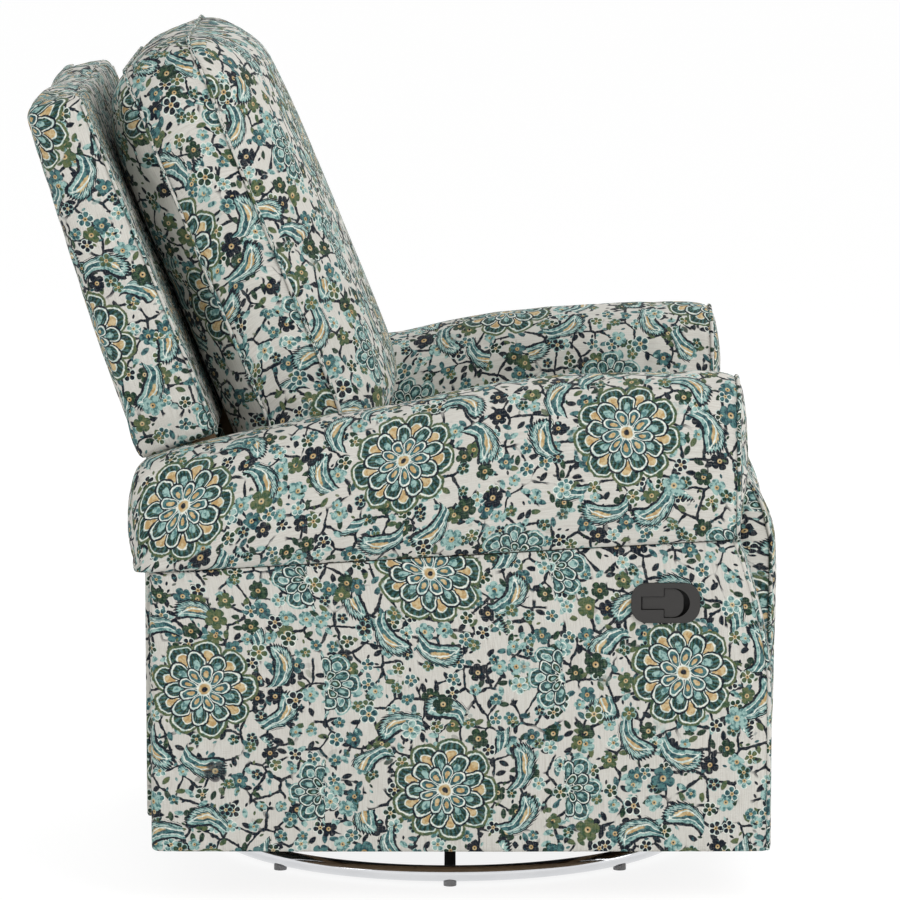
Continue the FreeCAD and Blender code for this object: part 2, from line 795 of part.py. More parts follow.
def arm_pad():
    """Rounded arm pad. Its sections stand across the arm, from the front panel to the rear end.
    The crown climbs to its top near the front, then falls slowly at first and evenly behind the middle."""
    front, rear = value("pad_front"), value("pad_rear")
    outer, inner, crown_x = value("pad_outer"), value("pad_inner"), value("pad_crown_x")
    slope = value("(arm_front_height - arm_rear_height) / (arm_rear - arm_top_front)")
    crown_front, crown_top = value("pad_crown_front"), value("pad_crown_top")
    crown_mid, crown_rear = value("pad_crown_mid"), value("pad_crown_rear")
    peak, middle = 0.15, 0.56
    sections = []
    for share, shrink in ((0, 5), (0.015, 1), (0.05, 0), (peak, 0), (0.28, 0), (0.42, 0), (middle, 0),
                          (0.7, 0), (0.84, 0), (0.96, 3), (0.985, 8), (1, 18)):
        y = front + (rear - front) * share
        foot = value("arm_front_height") - (y - value("arm_top_front")) * slope + value("seat_gap")
        if share < peak:
            crown = crown_front + (crown_top - crown_front) * (share / peak) ** 0.6
        elif share < middle:
            crown = crown_top + (crown_mid - crown_top) * ((share - peak) / (middle - peak)) ** 2.3
        else:
            crown = crown_mid + (crown_rear - crown_mid) * ((share - middle) / (1 - middle)) ** 1.25
        top = crown - shrink
        low_in = V(inner + shrink / 2, y, foot)
        low_out = V(outer - 4 - shrink / 2, y, foot)
        shoulder_out = V(outer - shrink / 2, y, top - 44)
        shoulder_in = V(inner + shrink / 2, y, top - 58)
        crown_out = V(crown_x + 22, y, top - 4)
        crown_in = V(crown_x - 40, y, top - 7)
        sections.append(Part.Wire([
            Part.makeLine(low_in, low_out), bowed(low_out, shoulder_out, 3, X),
            bowed(shoulder_out, crown_out, 9, V(0.72, 0, 0.69)), bowed(crown_out, crown_in, 4, Z),
            bowed(crown_in, shoulder_in, 11, V(-0.74, 0, 0.67)), Part.makeLine(shoulder_in, low_in)]))
    return soft("arm_pad_left", sections)


def across(y, z_foot, z_side, z_top, half, squeeze=3):
    """Section of a seat cushion: flat underneath, bowed sides and a crowned top."""
    a = V(-half, y, z_foot)
    b = V(half, y, z_foot)
    c = V(half - squeeze, y, z_side)
    d = V(squeeze - half, y, z_side)
    return Part.Wire([Part.makeLine(a, b), bowed(b, c, squeeze, X), bowed(c, d, z_top - z_side, Z),
                      bowed(d, a, squeeze, -X)])


def seat_cushion():
    foot = value("seat_level") + 2 * value("strap") + value("seat_gap")
    top, half = value("seat_top"), value("seat_half") - 3
    front, rear = value("seat_front"), value("seat_rear")
    sections = []
    for y, drop in ((front, 58), (front + 8, 34), (front + 24, 16), (front + 60, 4), (front + 130, 0),
                    ((front + rear) / 2 + 60, 1), (rear - 30, 8), (rear, 24)):
        sections.append(across(y, foot, top - drop - 24, top - drop, half))
    return soft("seat_cushion", sections)


def level(z, y_back, y_side, y_front, half, squeeze=2):
    """Level section of the footrest pad: flat against its board, crowned in front."""
    a = V(half, y_back, z)
    b = V(-half, y_back, z)
    c = V(squeeze - half, y_side, z)
    d = V(half - squeeze, y_side, z)
    return Part.Wire([Part.makeLine(a, b), bowed(b, c, squeeze, -X), bowed(c, d, y_side - y_front, -Y),
                      bowed(d, a, squeeze, X)])


def footrest_pad():
    back = value("board_front") - value("seat_gap")
    front, half = value("footrest_front"), value("cushion_half") - 2
    bottom, top = value("footrest_bottom"), value("footrest_top")
    sections = []
    for z, drop in ((bottom, 16), (bottom + 24, 9), (bottom + 160, 5), (top - 125, 0), (top - 80, 1),
                    (top - 32, 12), (top - 8, 30), (top, 44)):
        sections.append(level(z, back, front + drop + 8, front + drop, half))
    return soft("footrest_pad", sections)


def back_cushion():
    """Boxed cushion. Each section runs from its front seam to its back seam, bowed on both faces."""
    half, deep, crown = value("cushion_half"), value("boxing"), value("front_crown")
    lean = math.radians(value("lean"))
    shell_front = V(0, value("shell_y"), value("shell_height"))
    rearward = V(0, math.cos(lean), -math.sin(lean))
    foot = V(0, value("back_foot_y"), value("back_foot_height"))
    low = V(0, value("back_low_y"), value("back_low_height"))
    high = V(0, value("back_high_y"), value("back_high_height"))
    top = value("back_top_height")
    run = high - low
    tilt = math.atan2(run.y, run.z)
    square = V(0, math.cos(tilt), -math.sin(tilt))
    rows = [(foot, Y, deep, crown - 14, 30, 8), (low - run * 0.08, V(0, 0.98, -0.2), deep, crown - 2, 45, 1)]
    rows += [(low + run * share, square, deep, crown, None, 0) for share in (0, 0.25, 0.5, 0.75)]
    rows += [(high, square, deep, crown - 3, None, 0), (high + V(0, 16, 35), Y, deep, crown - 6, 30, 5),
             (V(0, high.y + 20, top - 42), Y, deep + 2, crown - 9, 22, 17),
             (V(0, high.y + 33, top - 21), Y, deep - 19, crown - 13, 16, 37),
             (V(0, high.y + 52, top - 6), Y, deep - 54, crown - 22, 10, 72)]
    sections = []
    for seam, away, depth, front_rise, back_rise, shrink in rows:
        back = seam + away * depth
        if back_rise is None:
            back_rise = (shell_front - back).dot(rearward) - value("seat_gap") - 0.3
        side = X * (half - shrink)
        sections.append(Part.Wire([
            bowed(seam - side, seam + side, front_rise, away * -1), Part.makeLine(seam + side, back + side),
            bowed(back + side, back - side, back_rise, away), Part.makeLine(back - side, seam - side)]))
    return soft("back_cushion", sections)


# Back unit

def tilted(thing, t, s):
    """Places a piece drawn along the leaning back: t rearwards from the shell's front, s upwards."""
    turn(thing, X, "0 - lean")
    bind(thing, "Placement.Base.y", "shell_y + (%s) * cos(lean) + (%s) * sin(lean)" % (t, s))
    bind(thing, "Placement.Base.z", "shell_height - (%s) * sin(lean) + (%s) * cos(lean)" % (t, s))
    return thing


def back_unit():
    shell = new_body("back_shell")
    outline = sketch(shell, "YZ", "0 - shell_half")
    head = "shell_length + shell_head_rise"
    polygon(outline, [(0, 0), ("shell_foot", "shell_foot_rise"), ("shell_head", head),
                      ("shell_head / 2", head + " + 7"), (0, "shell_length")])
    pad(shell, outline, "2 * shell_half")
    top_start = value("shell_length") - 5
    rounded(shell, X, "14", lambda p: p.z > top_start)
    sleeve = sketch(shell, "YZ", "0 - upright_half - upright / 2 - fit")
    rectangle(sleeve, "shell_wall", "0 - 1", "shell_wall + upright + fit", "shell_length - 20")
    pocket(shell, sleeve, "2 * upright_half + upright + 2 * fit")
    tilted(shell, 0, 0)
    node(shell, "back_shell")

    pieces = []
    for x in ("upright_half - upright / 2", "0 - upright_half - upright / 2"):
        upright = box(x, 0, 0, "upright", "upright", "shell_length + upright_drop - 22", "upright")
        tilted(upright, "shell_wall + fit", "0 - upright_drop")
        pieces.append(upright)
    for s in ("20", "shell_length * 0.48", "shell_length - 52"):
        rail = box("0 - upright_half + upright / 2 - 1", 0, 0, "2 * upright_half - upright + 2",
                   "upright - 6", "timber", "rail")
        tilted(rail, "shell_wall + fit", s)
        pieces.append(rail)
    node(fused(pieces, "back_frame"), "back_frame")

    panel_front = "panel_rear - panel_thick"
    panel = plate("lower_back_panel", "0 - panel_half", "2 * panel_half", [
        (panel_front, "panel_bottom"), ("panel_rear", "panel_bottom"),
        ("panel_rear", under_shell("panel_rear")), (panel_front, under_shell(panel_front))])
    node(panel, "lower_back_panel")

    middle, down = "(shell_wall + upright / 2)", "(upright_drop - 40)"
    top = ("(shell_y + %s * cos(lean) - %s * sin(lean))" % (middle, down),
           "(shell_height - %s * sin(lean) - %s * cos(lean))" % (middle, down))
    arm = link("back_hinge_left", "hinge_plate_inner", [("recline_y", "recline_height"), top], "20",
               [("recline_y", "recline_height", "hinge_pin + fit")])
    node(arm, "back_hinge_left")
    mirrored(arm, "back_hinge_right")
    pair("back_hinge_pins", [pin("hinge_plate_inner - 1", "recline_y", "recline_height", "hinge_pin",
                                 "%s - hinge_plate_inner" % FRAME_INNER, "hinge_pin + 4", "2", inward=True)])


def under_shell(y):
    """Height of the shell's lower face at a given y, less a small gap."""
    return "shell_height - (%s - shell_y) * tan(lean * 1 deg - atan(shell_foot_rise / shell_foot)) - 0.5" % y


# Footrest mechanism

def keyed_square(a, b, half):
    """Corners of the torque tube's square about a centre."""
    return [("%s - %s" % (a, half), "%s - %s" % (b, half)), ("%s + %s" % (a, half), "%s - %s" % (b, half)),
            ("%s + %s" % (a, half), "%s + %s" % (b, half)), ("%s - %s" % (a, half), "%s + %s" % (b, half))]


def mechanism_plates():
    side = plate("legrest_plate_left", "plate_inner", "side_rail_inner - plate_inner", [
        ("guide_y - 10", "guide_height - 14"), ("guide_y + 18", "guide_height - 14"),
        ("latch_y - 34", "latch_height - 4"), ("latch_y - 26", "latch_height - 30"),
        ("latch_y + 28", "latch_height - 30"), ("latch_y + 54", "seat_level - side_rail_height"),
        ("latch_y + 68", "seat_level - 6"), ("side_rail_front + 6", "seat_level - 6"),
        ("guide_y - 10", "guide_height + 60")],
        [("guide_y", "guide_height", "rivet + fit"), ("crank_y", "crank_height", "tube_side / 2 + fit")],
        corner="6")
    node(side, "legrest_plate_left")
    mirrored(side, "legrest_plate_right")
    left = pin(layer(1), "guide_y", "guide_height", "rivet", "(side_rail_inner - %s)" % layer(1),
               "rivet_head", "rivet_head_height", inward=True)
    pair("legrest_plate_pins", [left])


def cranks():
    square = box("0 - %s - link_steel" % layer(3), "crank_y - tube_side / 2", "crank_height - tube_side / 2",
                 "2 * (%s + link_steel)" % layer(3), "tube_side", "tube_side", "square")
    journal = rod("0 - side_rail_inner - 2", "crank_y", "crank_height", "tube_side / 2",
                  "2 * side_rail_inner + 4", X, "journal")
    node(fused([square, journal], "torque_tube"), "torque_tube")

    crank = link("crank_link_left", layer(3), [("crank_y", "crank_height"), ELBOW, TAIL],
                 "link_width / 2 + 1")
    boss = sketch(crank, "YZ", layer(3))
    circle(boss, "crank_y", "crank_height", "tube_side - 1")
    pad(crank, boss, "link_steel")
    key = sketch(crank, "YZ", layer(3))
    polygon(key, keyed_square("crank_y", "crank_height", "(tube_side / 2 + fit)"))
    pocket(crank, key, "link_steel")
    riveted(crank, ELBOW, "%s + link_steel" % layer(3), "layer_pitch")
    riveted(crank, TAIL, layer(3), "layer_pitch", reverse=True)
    node(crank, "crank_link_left")
    mirrored(crank, "crank_link_right")


def riveted(body, centre, start, length, reverse=False):
    """A stud on a link that carries the next link, with its head beyond that link."""
    stud(body, *centre, "rivet", start, length, reverse)
    far = "%s - %s" % (start, length) if reverse else "%s + %s" % (start, length)
    stud(body, *centre, "rivet_head", far, "rivet_head_height", reverse)


def footrest_links():
    running = "rivet + fit"
    lift = link("lift_link_left", layer(2), [EAR, ELBOW, KNEE], "link_width / 2", [
        (*ELBOW, running), (*KNEE, running)])
    stud(lift, *EAR, "rivet", "%s + link_steel" % layer(2), "layer_pitch")
    guide = link("guide_link_left", layer(1), [("guide_y", "guide_height"), EAR], "link_width / 2", [
        ("guide_y", "guide_height", running), (*EAR, "rivet + guide_play")])
    tilt = link("tilt_link_left", layer(4), [TAIL, TOE], "link_width / 2", [(*TAIL, running)])
    stud(tilt, *TOE, "rivet", "%s + link_steel" % layer(4), "layer_pitch")
    for bar in (lift, guide, tilt):
        name = bar.Name
        node(bar, name)
        mirrored(bar, name.replace("left", "right"))


def footrest():
    board_back = "(board_front + board_thick)"
    bracket = plate("footrest_bracket_left", layer(3), "link_steel", [
        (board_back, "%s - 30" % TOE[1]), ("%s - 4" % TOE[0], "%s - 18" % TOE[1]),
        ("%s + 15" % TOE[0], "%s - 8" % TOE[1]), ("%s + 14" % TOE[0], "%s + 12" % TOE[1]),
        ("%s + 10" % KNEE[0], "%s + 12" % KNEE[1]), ("%s + 5" % board_back, "%s + 14" % KNEE[1]),
        ("%s + 4" % board_back, "%s + 50" % KNEE[1]), (board_back, "%s + 50" % KNEE[1])],
        [(*TOE, "rivet + tilt_play")])
    riveted(bracket, KNEE, "%s + link_steel" % layer(3), "layer_pitch")
    flange = sketch(bracket, "XY", "%s - 24" % TOE[1])
    rectangle(flange, "%s - 24" % layer(3), board_back, "%s + 1" % layer(3), "%s + link_steel" % board_back)
    pad(bracket, flange, "%s + 50 - (%s - 24)" % (KNEE[1], TOE[1]))
    node(bracket, "footrest_bracket_left")
    mirrored(bracket, "footrest_bracket_right")
    node(box("0 - side_rail_inner", "board_front", "board_bottom", "2 * side_rail_inner", "board_thick",
             "board_top - board_bottom", "footrest_board"), "footrest_board")


# Release handle, on the sitter's right

def handle():
    lip = cup_block("0 - chair_half - cup_lip", "cup_lip", "0")
    case = cup_block("0 - chair_half - 0.5", "cup_depth + 0.5", "cup_lip_width")
    inside = cup_block("0 - chair_half - cup_lip - 1", "cup_depth + cup_lip + 1 - cup_wall",
                       "(cup_lip_width + cup_wall)")
    trunnion_half = "(cup_tall / 2 - trunnion_inset)"
    bore = rod(PADDLE_X, PADDLE_Y, "cup_height - %s - seat_gap" % trunnion_half, "paddle_trunnion + fit",
               "2 * %s + 2 * seat_gap" % trunnion_half, name="bore")
    node(cut(fused([lip, case], "shell"), [inside, bore], "handle_cup"), "handle_cup")

    paddle = new_body("release_paddle")
    face = PADDLE_X + " - 8"
    flap_rear = "(%s - 4 - stem_length)" % PADDLE_Y
    stem = sketch(paddle, "YZ", face)
    rectangle(stem, flap_rear, "cup_height - stem_tall / 2", PADDLE_Y, "cup_height + stem_tall / 2")
    pad(paddle, stem, "paddle_thick")
    flap = sketch(paddle, "YZ", face)
    rectangle(flap, flap_rear + " - flap_length", "cup_height - flap_tall / 2", flap_rear,
              "cup_height + flap_tall / 2")
    pad(paddle, flap, "paddle_thick")
    nose = value(flap_rear + " - flap_length")
    rounded(paddle, X, "flap_tall / 2 - 4", lambda p: p.y < nose + 1)
    barrel_half = "(cup_tall / 2 - barrel_inset)"
    for radius, half in (("paddle_barrel", barrel_half), ("paddle_trunnion", trunnion_half)):
        barrel = sketch(paddle, "XY", "cup_height - " + half)
        circle(barrel, PADDLE_X, PADDLE_Y, radius)
        pad(paddle, barrel, "2 * " + half)
    lug = sketch(paddle, "XY", "cup_height - 4")
    rectangle(lug, PADDLE_X, PADDLE_Y + " - 2", PADDLE_X + " + 12", PADDLE_Y + " + 2")
    pad(paddle, lug, "8")
    node(paddle, "release_paddle")

    coil = rod(PADDLE_X, PADDLE_Y, "cup_height + 7.8", "paddle_barrel + 1.2", "2.8", name="coil")
    core = rod(PADDLE_X, PADDLE_Y, "cup_height + 7.8", "paddle_barrel + 0.2", "2.8", name="core")
    node(cut(coil, [core], "handle_spring"), "handle_spring")

    node(box("0 - side_rail_inner - 24", "latch_y - 24", "latch_height - 28", "24", "48", "52",
             "latch_housing"), "latch_housing")


def disc(radius, centre, along):
    return Part.Face(Part.Wire([Part.makeCircle(radius, centre, along)]))


def tube_through(points, radius):
    """A round tube along straight runs joined by bends as large as the runs allow."""
    start = points[0]
    length = 0
    runs = []
    for before, corner, after in zip(points, points[1:], points[2:]):
        arriving = (corner - before).normalize()
        leaving = (after - corner).normalize()
        bend = arriving.getAngle(leaving)
        reach = 0.48 * min((corner - before).Length, (after - corner).Length)
        entry = corner - arriving * reach
        size = reach / math.tan(bend / 2)
        print("cable bend radius %.1f" % size)
        turned = arriving.cross(leaving).normalize()
        centre = entry + turned.cross(arriving) * size
        runs.append(disc(radius, start, arriving).extrude(entry - start))
        runs.append(disc(radius, entry, arriving).revolve(centre, turned, math.degrees(bend)))
        length += (entry - start).Length + size * bend
        start = corner + leaving * reach
    runs.append(disc(radius, start, leaving).extrude(points[-1] - start))
    length += (points[-1] - start).Length
    tube = runs[0].multiFuse(runs[1:]).Solids[0]
    print("cable length %.1f, volume share %.4f" % (length, tube.Volume / (math.pi * radius ** 2 * length)))
    return tube


def release_cable():
    """From the back of the handle's cup, down inside the arm and through its window to the latch."""
    start = V(-value("chair_half") + value("cup_depth"), value(PADDLE_Y) - 8, value("cup_height"))
    end = V(-value("side_rail_inner") - 24, value("latch_y"), value("latch_height"))
    points = [start, start + V(55, 0, 0), V(-326, -257, 315), end + V(-55, 0, 0), end]
    piece = doc.addObject("Part::Feature", "release_cable")
    piece.Shape = tube_through(points, value("cable_radius"))
    node(piece, "release_cable")


def save(folder):
    doc.recompute()
    os.makedirs(folder, exist_ok=True)
    for thing in doc.Objects:
        if "Invalid" in thing.State or "Error" in thing.State:
            raise ValueError("%s did not build: %s" % (thing.Name, thing.State))
    for thing in nodes:
        if thing.Shape.isNull() or not thing.Shape.isValid():
            raise ValueError("%s is not a valid shape" % thing.Label)
    for thing in nodes:
        thing.Shape.exportStep(os.path.join(folder, thing.Label + ".step"))
    whole = Part.makeCompound([thing.Shape for thing in nodes]).BoundBox
    print("%d nodes, x %.1f to %.1f, y %.1f to %.1f, z %.1f to %.1f" % (
        len(nodes), whole.XMin, whole.XMax, whole.YMin, whole.YMax, whole.ZMin, whole.ZMax))


base()
bearing()
platform()
glide_stand()
swing_links()
link_pins()
glide_rail()
arms()
rails()
webbing()
left_pad = node(arm_pad(), "arm_pad_left")
mirrored(left_pad, "arm_pad_right")
node(seat_cushion(), "seat_cushion")
back_unit()
node(back_cushion(), "back_cushion")
mechanism_plates()
cranks()
footrest_links()
footrest()
node(footrest_pad(), "footrest_pad")
handle()
release_cable()
save("parts")
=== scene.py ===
import json
import math

import bmesh
import bpy
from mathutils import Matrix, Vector, noise

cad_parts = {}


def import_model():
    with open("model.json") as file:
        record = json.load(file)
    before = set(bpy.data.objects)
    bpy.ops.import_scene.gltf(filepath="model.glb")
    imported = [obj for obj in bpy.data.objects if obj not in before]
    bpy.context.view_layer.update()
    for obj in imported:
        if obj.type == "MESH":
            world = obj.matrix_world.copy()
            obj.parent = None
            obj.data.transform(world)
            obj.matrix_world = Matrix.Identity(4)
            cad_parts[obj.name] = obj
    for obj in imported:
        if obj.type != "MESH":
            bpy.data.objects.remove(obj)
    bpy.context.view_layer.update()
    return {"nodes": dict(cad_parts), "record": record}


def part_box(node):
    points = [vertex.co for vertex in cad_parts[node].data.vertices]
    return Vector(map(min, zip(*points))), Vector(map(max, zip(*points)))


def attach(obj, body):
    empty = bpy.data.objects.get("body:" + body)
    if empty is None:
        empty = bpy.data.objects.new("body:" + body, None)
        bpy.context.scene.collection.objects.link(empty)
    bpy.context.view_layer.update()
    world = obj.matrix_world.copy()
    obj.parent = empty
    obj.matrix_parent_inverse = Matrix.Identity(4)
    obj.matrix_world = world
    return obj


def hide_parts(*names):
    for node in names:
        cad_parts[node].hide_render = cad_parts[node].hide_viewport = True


# Swivel glider recliner: upholstery, finishes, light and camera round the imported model.
# Metres. +Z is up, the chair faces -Y and the sitter's left is +X.

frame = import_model()

X = Vector((1, 0, 0))
Y = Vector((0, 1, 0))
Z = Vector((0, 0, 1))
MM = 0.001
SIDES = {"left": 1, "right": -1}


def linear(red, green, blue):
    """An RGBA colour in Blender's linear values from ordinary 0 to 255 ones."""
    def convert(level):
        level /= 255
        return level / 12.92 if level <= 0.04045 else ((level + 0.055) / 1.055) ** 2.4
    return (convert(red), convert(green), convert(blue), 1)


IVORY = linear(205, 203, 196)
OATMEAL = linear(190, 186, 178)
AQUA = linear(150, 182, 176)
MIST = linear(186, 204, 198)
TEAL = linear(74, 116, 116)
DEEP_TEAL = linear(32, 66, 74)
FOREST = linear(22, 46, 36)
MOSS = linear(56, 80, 56)
OLIVE = linear(90, 100, 66)
NAVY = linear(10, 20, 32)
OCHRE = linear(176, 146, 98)
PALE = linear(226, 228, 218)


# Shader maths

class Socket:
    """An output of a shader node that takes part in arithmetic."""

    def __init__(self, graph, output):
        self.graph = graph
        self.output = output

    def maths(self, operation, *others):
        """A Math node on this value and the others."""
        values = {0: self}
        values.update(enumerate(others, start=1))
        return self.graph.node("ShaderNodeMath", {"operation": operation}, values)

    def __add__(self, other):
        return self.maths("ADD", other)

    __radd__ = __add__

    def __mul__(self, other):
        return self.maths("MULTIPLY", other)

    __rmul__ = __mul__

    def __sub__(self, other):
        return self.maths("SUBTRACT", other)

    def __rsub__(self, other):
        return self.graph.node("ShaderNodeMath", {"operation": "SUBTRACT"}, {0: other, 1: self})

    def __truediv__(self, other):
        return self.maths("DIVIDE", other)

    def __mod__(self, other):
        return self.maths("FLOORED_MODULO", other)

    def __pow__(self, other):
        return self.maths("POWER", other)

    def __abs__(self):
        return self.maths("ABSOLUTE")

    def floor(self):
        return self.maths("FLOOR")

    def fraction(self):
        return self.maths("FRACT")

    def root(self):
        return self.maths("SQRT")

    def cos(self):
        return self.maths("COSINE")

    def sin(self):
        return self.maths("SINE")

    def angle(self, other):
        return self.maths("ARCTAN2", other)

    def most(self, other):
        return self.maths("MAXIMUM", other)

    def over(self, edge, soft):
        """A mask that is 1 where the value is over an edge."""
        return self.graph.node("ShaderNodeMapRange", {"interpolation_type": "SMOOTHSTEP"},
                               {"Value": self, "From Min": edge - soft, "From Max": edge + soft})

    def under(self, edge, soft):
        """A mask that is 1 where the value is under an edge."""
        return self.graph.node("ShaderNodeMapRange", {"interpolation_type": "SMOOTHSTEP"},
                               {"Value": self, "From Min": edge + soft, "From Max": edge - soft})


class Finish:
    """A procedural material. Its colour is painted in layers, and it ends in one Principled shader."""

    def __init__(self, name, roughness, metallic=0.0, fixed=None):
        self.material = bpy.data.materials.new(name)
        self.material.use_nodes = True
        self.tree = self.material.node_tree
        self.shader = self.tree.nodes["Principled BSDF"]
        self.put(self.shader.inputs["Roughness"], roughness)
        self.put(self.shader.inputs["Metallic"], metallic)
        for entry, number in (fixed or {}).items():
            self.shader.inputs[entry].default_value = number

    def put(self, entry, value):
        """Links a socket to an entry, or sets a plain value on it."""
        if isinstance(value, Socket):
            self.tree.links.new(value.output, entry)
        else:
            entry.default_value = value

    def node(self, kind, settings=None, values=None, out=0):
        """Adds a node: its type, its settings, then the values or links of its entries."""
        made = self.tree.nodes.new(kind)
        for name, setting in (settings or {}).items():
            setattr(made, name, setting)
        for entry, value in (values or {}).items():
            self.put(made.inputs[entry], value)
        return Socket(self, made.outputs[out])

    def place(self, kind="Object"):
        """Where the shaded point is: on the object, or on the flat cloth."""
        if kind == "cloth":
            return self.node("ShaderNodeUVMap", {"uv_map": "cloth"})
        return self.node("ShaderNodeTexCoord", out=kind)

    def scaled(self, vector, size):
        """A place with each of its axes stretched by its own number."""
        return self.node("ShaderNodeVectorMath", {"operation": "MULTIPLY"}, {0: vector, 1: size})

    def part(self, vector, letter):
        return self.node("ShaderNodeSeparateXYZ", {}, {0: vector}, out=letter)

    def noise(self, vector, scale, detail=2.0, roughness=0.5):
        return self.node("ShaderNodeTexNoise", {"noise_dimensions": "3D"},
                         {"Vector": vector, "Scale": scale, "Detail": detail, "Roughness": roughness})

    def mix(self, mask, under, over):
        """One colour where the mask is 0 and another where it is 1."""
        return self.node("ShaderNodeMix", {"data_type": "RGBA"}, {0: mask, 6: under, 7: over}, out=2)

    def shade(self, colour, factor):
        """A colour made darker or lighter by a number near 1."""
        return self.node("ShaderNodeVectorMath", {"operation": "SCALE"}, {0: colour, "Scale": factor})

    def paint(self, colour):
        self.put(self.shader.inputs["Base Color"], colour)

    def bump(self, height, distance, strength=1.0):
        raised = self.node("ShaderNodeBump", {},
                           {"Height": height, "Distance": distance, "Strength": strength})
        self.put(self.shader.inputs["Normal"], raised)


# The printed linen

class Print:
    """Paints the linen's pattern in layers, all on the flat cloth's own coordinates in metres."""

    def __init__(self, finish):
        self.finish = finish
        self.flat = finish.place("cloth")
        sway = finish.node("ShaderNodeTexNoise", {"noise_dimensions": "2D"},
                           {"Vector": self.flat, "Scale": 42.0, "Detail": 3.0}, out="Color")
        self.cloth = finish.node("ShaderNodeVectorMath", {"operation": "MULTIPLY_ADD"},
                                 {0: sway, 1: (0.009, 0.009, 0), 2: self.flat})
        self.wash = finish.noise(self.flat, 170.0, 3.0, 0.6)
        self.brush = finish.noise(self.flat, 620.0, 2.0, 0.6)
        fray = finish.noise(self.flat, 380.0, 2.0, 0.7)
        self.fray = (fray - 0.5) * 0.34
        self.ground = finish.mix(finish.noise(finish.scaled(self.flat, (900, 40, 1)), 1.0).over(0.56, 0.2),
                                 IVORY, OATMEAL)
        self.teal = self.mottled(DEEP_TEAL, TEAL, 0.5)
        self.sea = self.mottled(TEAL, AQUA, 0.48)
        self.green = self.mottled(FOREST, MOSS, 0.56)
        self.leaf_green = self.mottled(MOSS, OLIVE, 0.5)
        self.ink = self.mottled(NAVY, DEEP_TEAL, 0.64)
        self.gold = self.mottled(OCHRE, linear(198, 178, 138), 0.5)
        self.foam = self.mottled(MIST, PALE, 0.5)

    def mottled(self, dark, light, share):
        """A washy colour between two tones, as thin dye dries on a coarse cloth."""
        return self.finish.mix(self.wash.over(share, 0.07), dark, light)

    def lay(self, colour, mask, tone):
        return self.finish.mix(mask, colour, tone)

    def rings(self, colour, distance, rings):
        """Nested outlines: each ring is (edge, tone), from the outermost inwards."""
        frayed = distance + self.fray * 0.3
        for edge, tone in rings:
            colour = self.lay(colour, frayed.under(edge, 0.03), tone)
        return colour

    def petal(self, radius, angle, count, centre, length, width, turn=0.0):
        """How far a point is from the heart of the nearest petal of a ring: 1 is the petal's edge."""
        sector = 2 * math.pi / count
        swing = (((angle / sector) + turn).fraction() - 0.5) * sector
        along = (radius * swing.cos() - centre) / length
        across = radius * swing.sin() / (width * (0.62 + 0.38 * (along + 1)))
        return (along * along + across * across).root()

    def rosette(self, colour, x, y, size, count, tones):
        """A full blown flower: feathered outer petals, a ring of smaller ones and a beaded heart."""
        radius = (x * x + y * y).root() / size
        angle = y.angle(x)
        rim, body, heart, seed = tones
        outer = self.petal(radius, angle, count, 0.68, 0.32, 0.24)
        middle = self.petal(radius, angle, count, 0.5, 0.27, 0.15, turn=0.5)
        inner = self.petal(radius, angle, count, 0.3, 0.19, 0.1)
        feather = (angle * (count * 7)).sin().over(0.1, 0.5)
        striped = self.lay(body, feather * 0.75, heart)
        colour = self.rings(colour, outer, [(1.12, rim), (0.96, self.foam), (0.87, striped),
                                            (0.46, self.foam), (0.38, seed)])
        colour = self.rings(colour, middle, [(1.14, self.ink), (0.98, self.foam), (0.84, striped),
                                             (0.4, self.sea)])
        colour = self.rings(colour, inner, [(1.15, self.ink), (0.98, self.foam), (0.8, heart), (0.4, seed)])
        colour = self.lay(colour, radius.under(0.15, 0.02), self.foam)
        colour = self.lay(colour, radius.under(0.115, 0.015), seed)
        return self.lay(colour, radius.under(0.055, 0.012), self.ink), radius.under(1.04, 0.03)

    def garland(self, colour, x, y, ring, count, length, width):
        """Curled, saw-edged leaves that chase each other round a ring and leave gaps between groups."""
        radius = (x * x + y * y).root()
        angle = y.angle(x)
        sector = 2 * math.pi / count
        swing = ((angle / sector).fraction() - 0.5) * (sector * ring)
        depth = radius - ring
        slanted = swing + depth * 1.1
        curved = depth + swing * swing * 16 - 0.002
        teeth = (slanted * 190).fraction() * curved.over(0.002, 0.002)
        leaf = ((slanted / length) ** 2 + (curved / width) ** 2).root() + teeth * 0.3
        leaf = leaf + (1 - abs((angle * 1.5).sin()).over(0.36, 0.02)) * 9
        colour = self.rings(colour, leaf, [(1.25, self.ink), (0.98, self.sea), (0.7, self.foam),
                                           (0.62, self.teal), (0.36, self.gold)])
        vein = abs(curved).under(0.0009, 0.0005) * leaf.under(0.9, 0.05)
        return self.lay(colour, vein, self.foam)

    def scatter(self, pitch, loose=0.9):
        """A random scatter: x and y from the middle of the nearest spot, and three chances for it."""
        cell = {"Vector": self.flat, "Scale": 1 / pitch, "Randomness": loose}
        settings = {"voronoi_dimensions": "2D"}
        node = self.finish.node
        middle = node("ShaderNodeTexVoronoi", settings, cell, out="Position")
        chance = node("ShaderNodeTexVoronoi", settings, cell, out="Color")
        offset = node("ShaderNodeVectorMath", {"operation": "SUBTRACT"}, {0: self.flat, 1: middle})
        chances = [self.finish.part(chance, letter) for letter in "XYZ"]
        return self.finish.part(offset, "X"), self.finish.part(offset, "Y"), chances

    def picked(self, chance, tones):
        """One of several tones by chance."""
        colour = tones[0]
        for number, tone in enumerate(tones[1:], start=1):
            colour = self.lay(colour, chance.over(number / len(tones), 0.001), tone)
        return colour

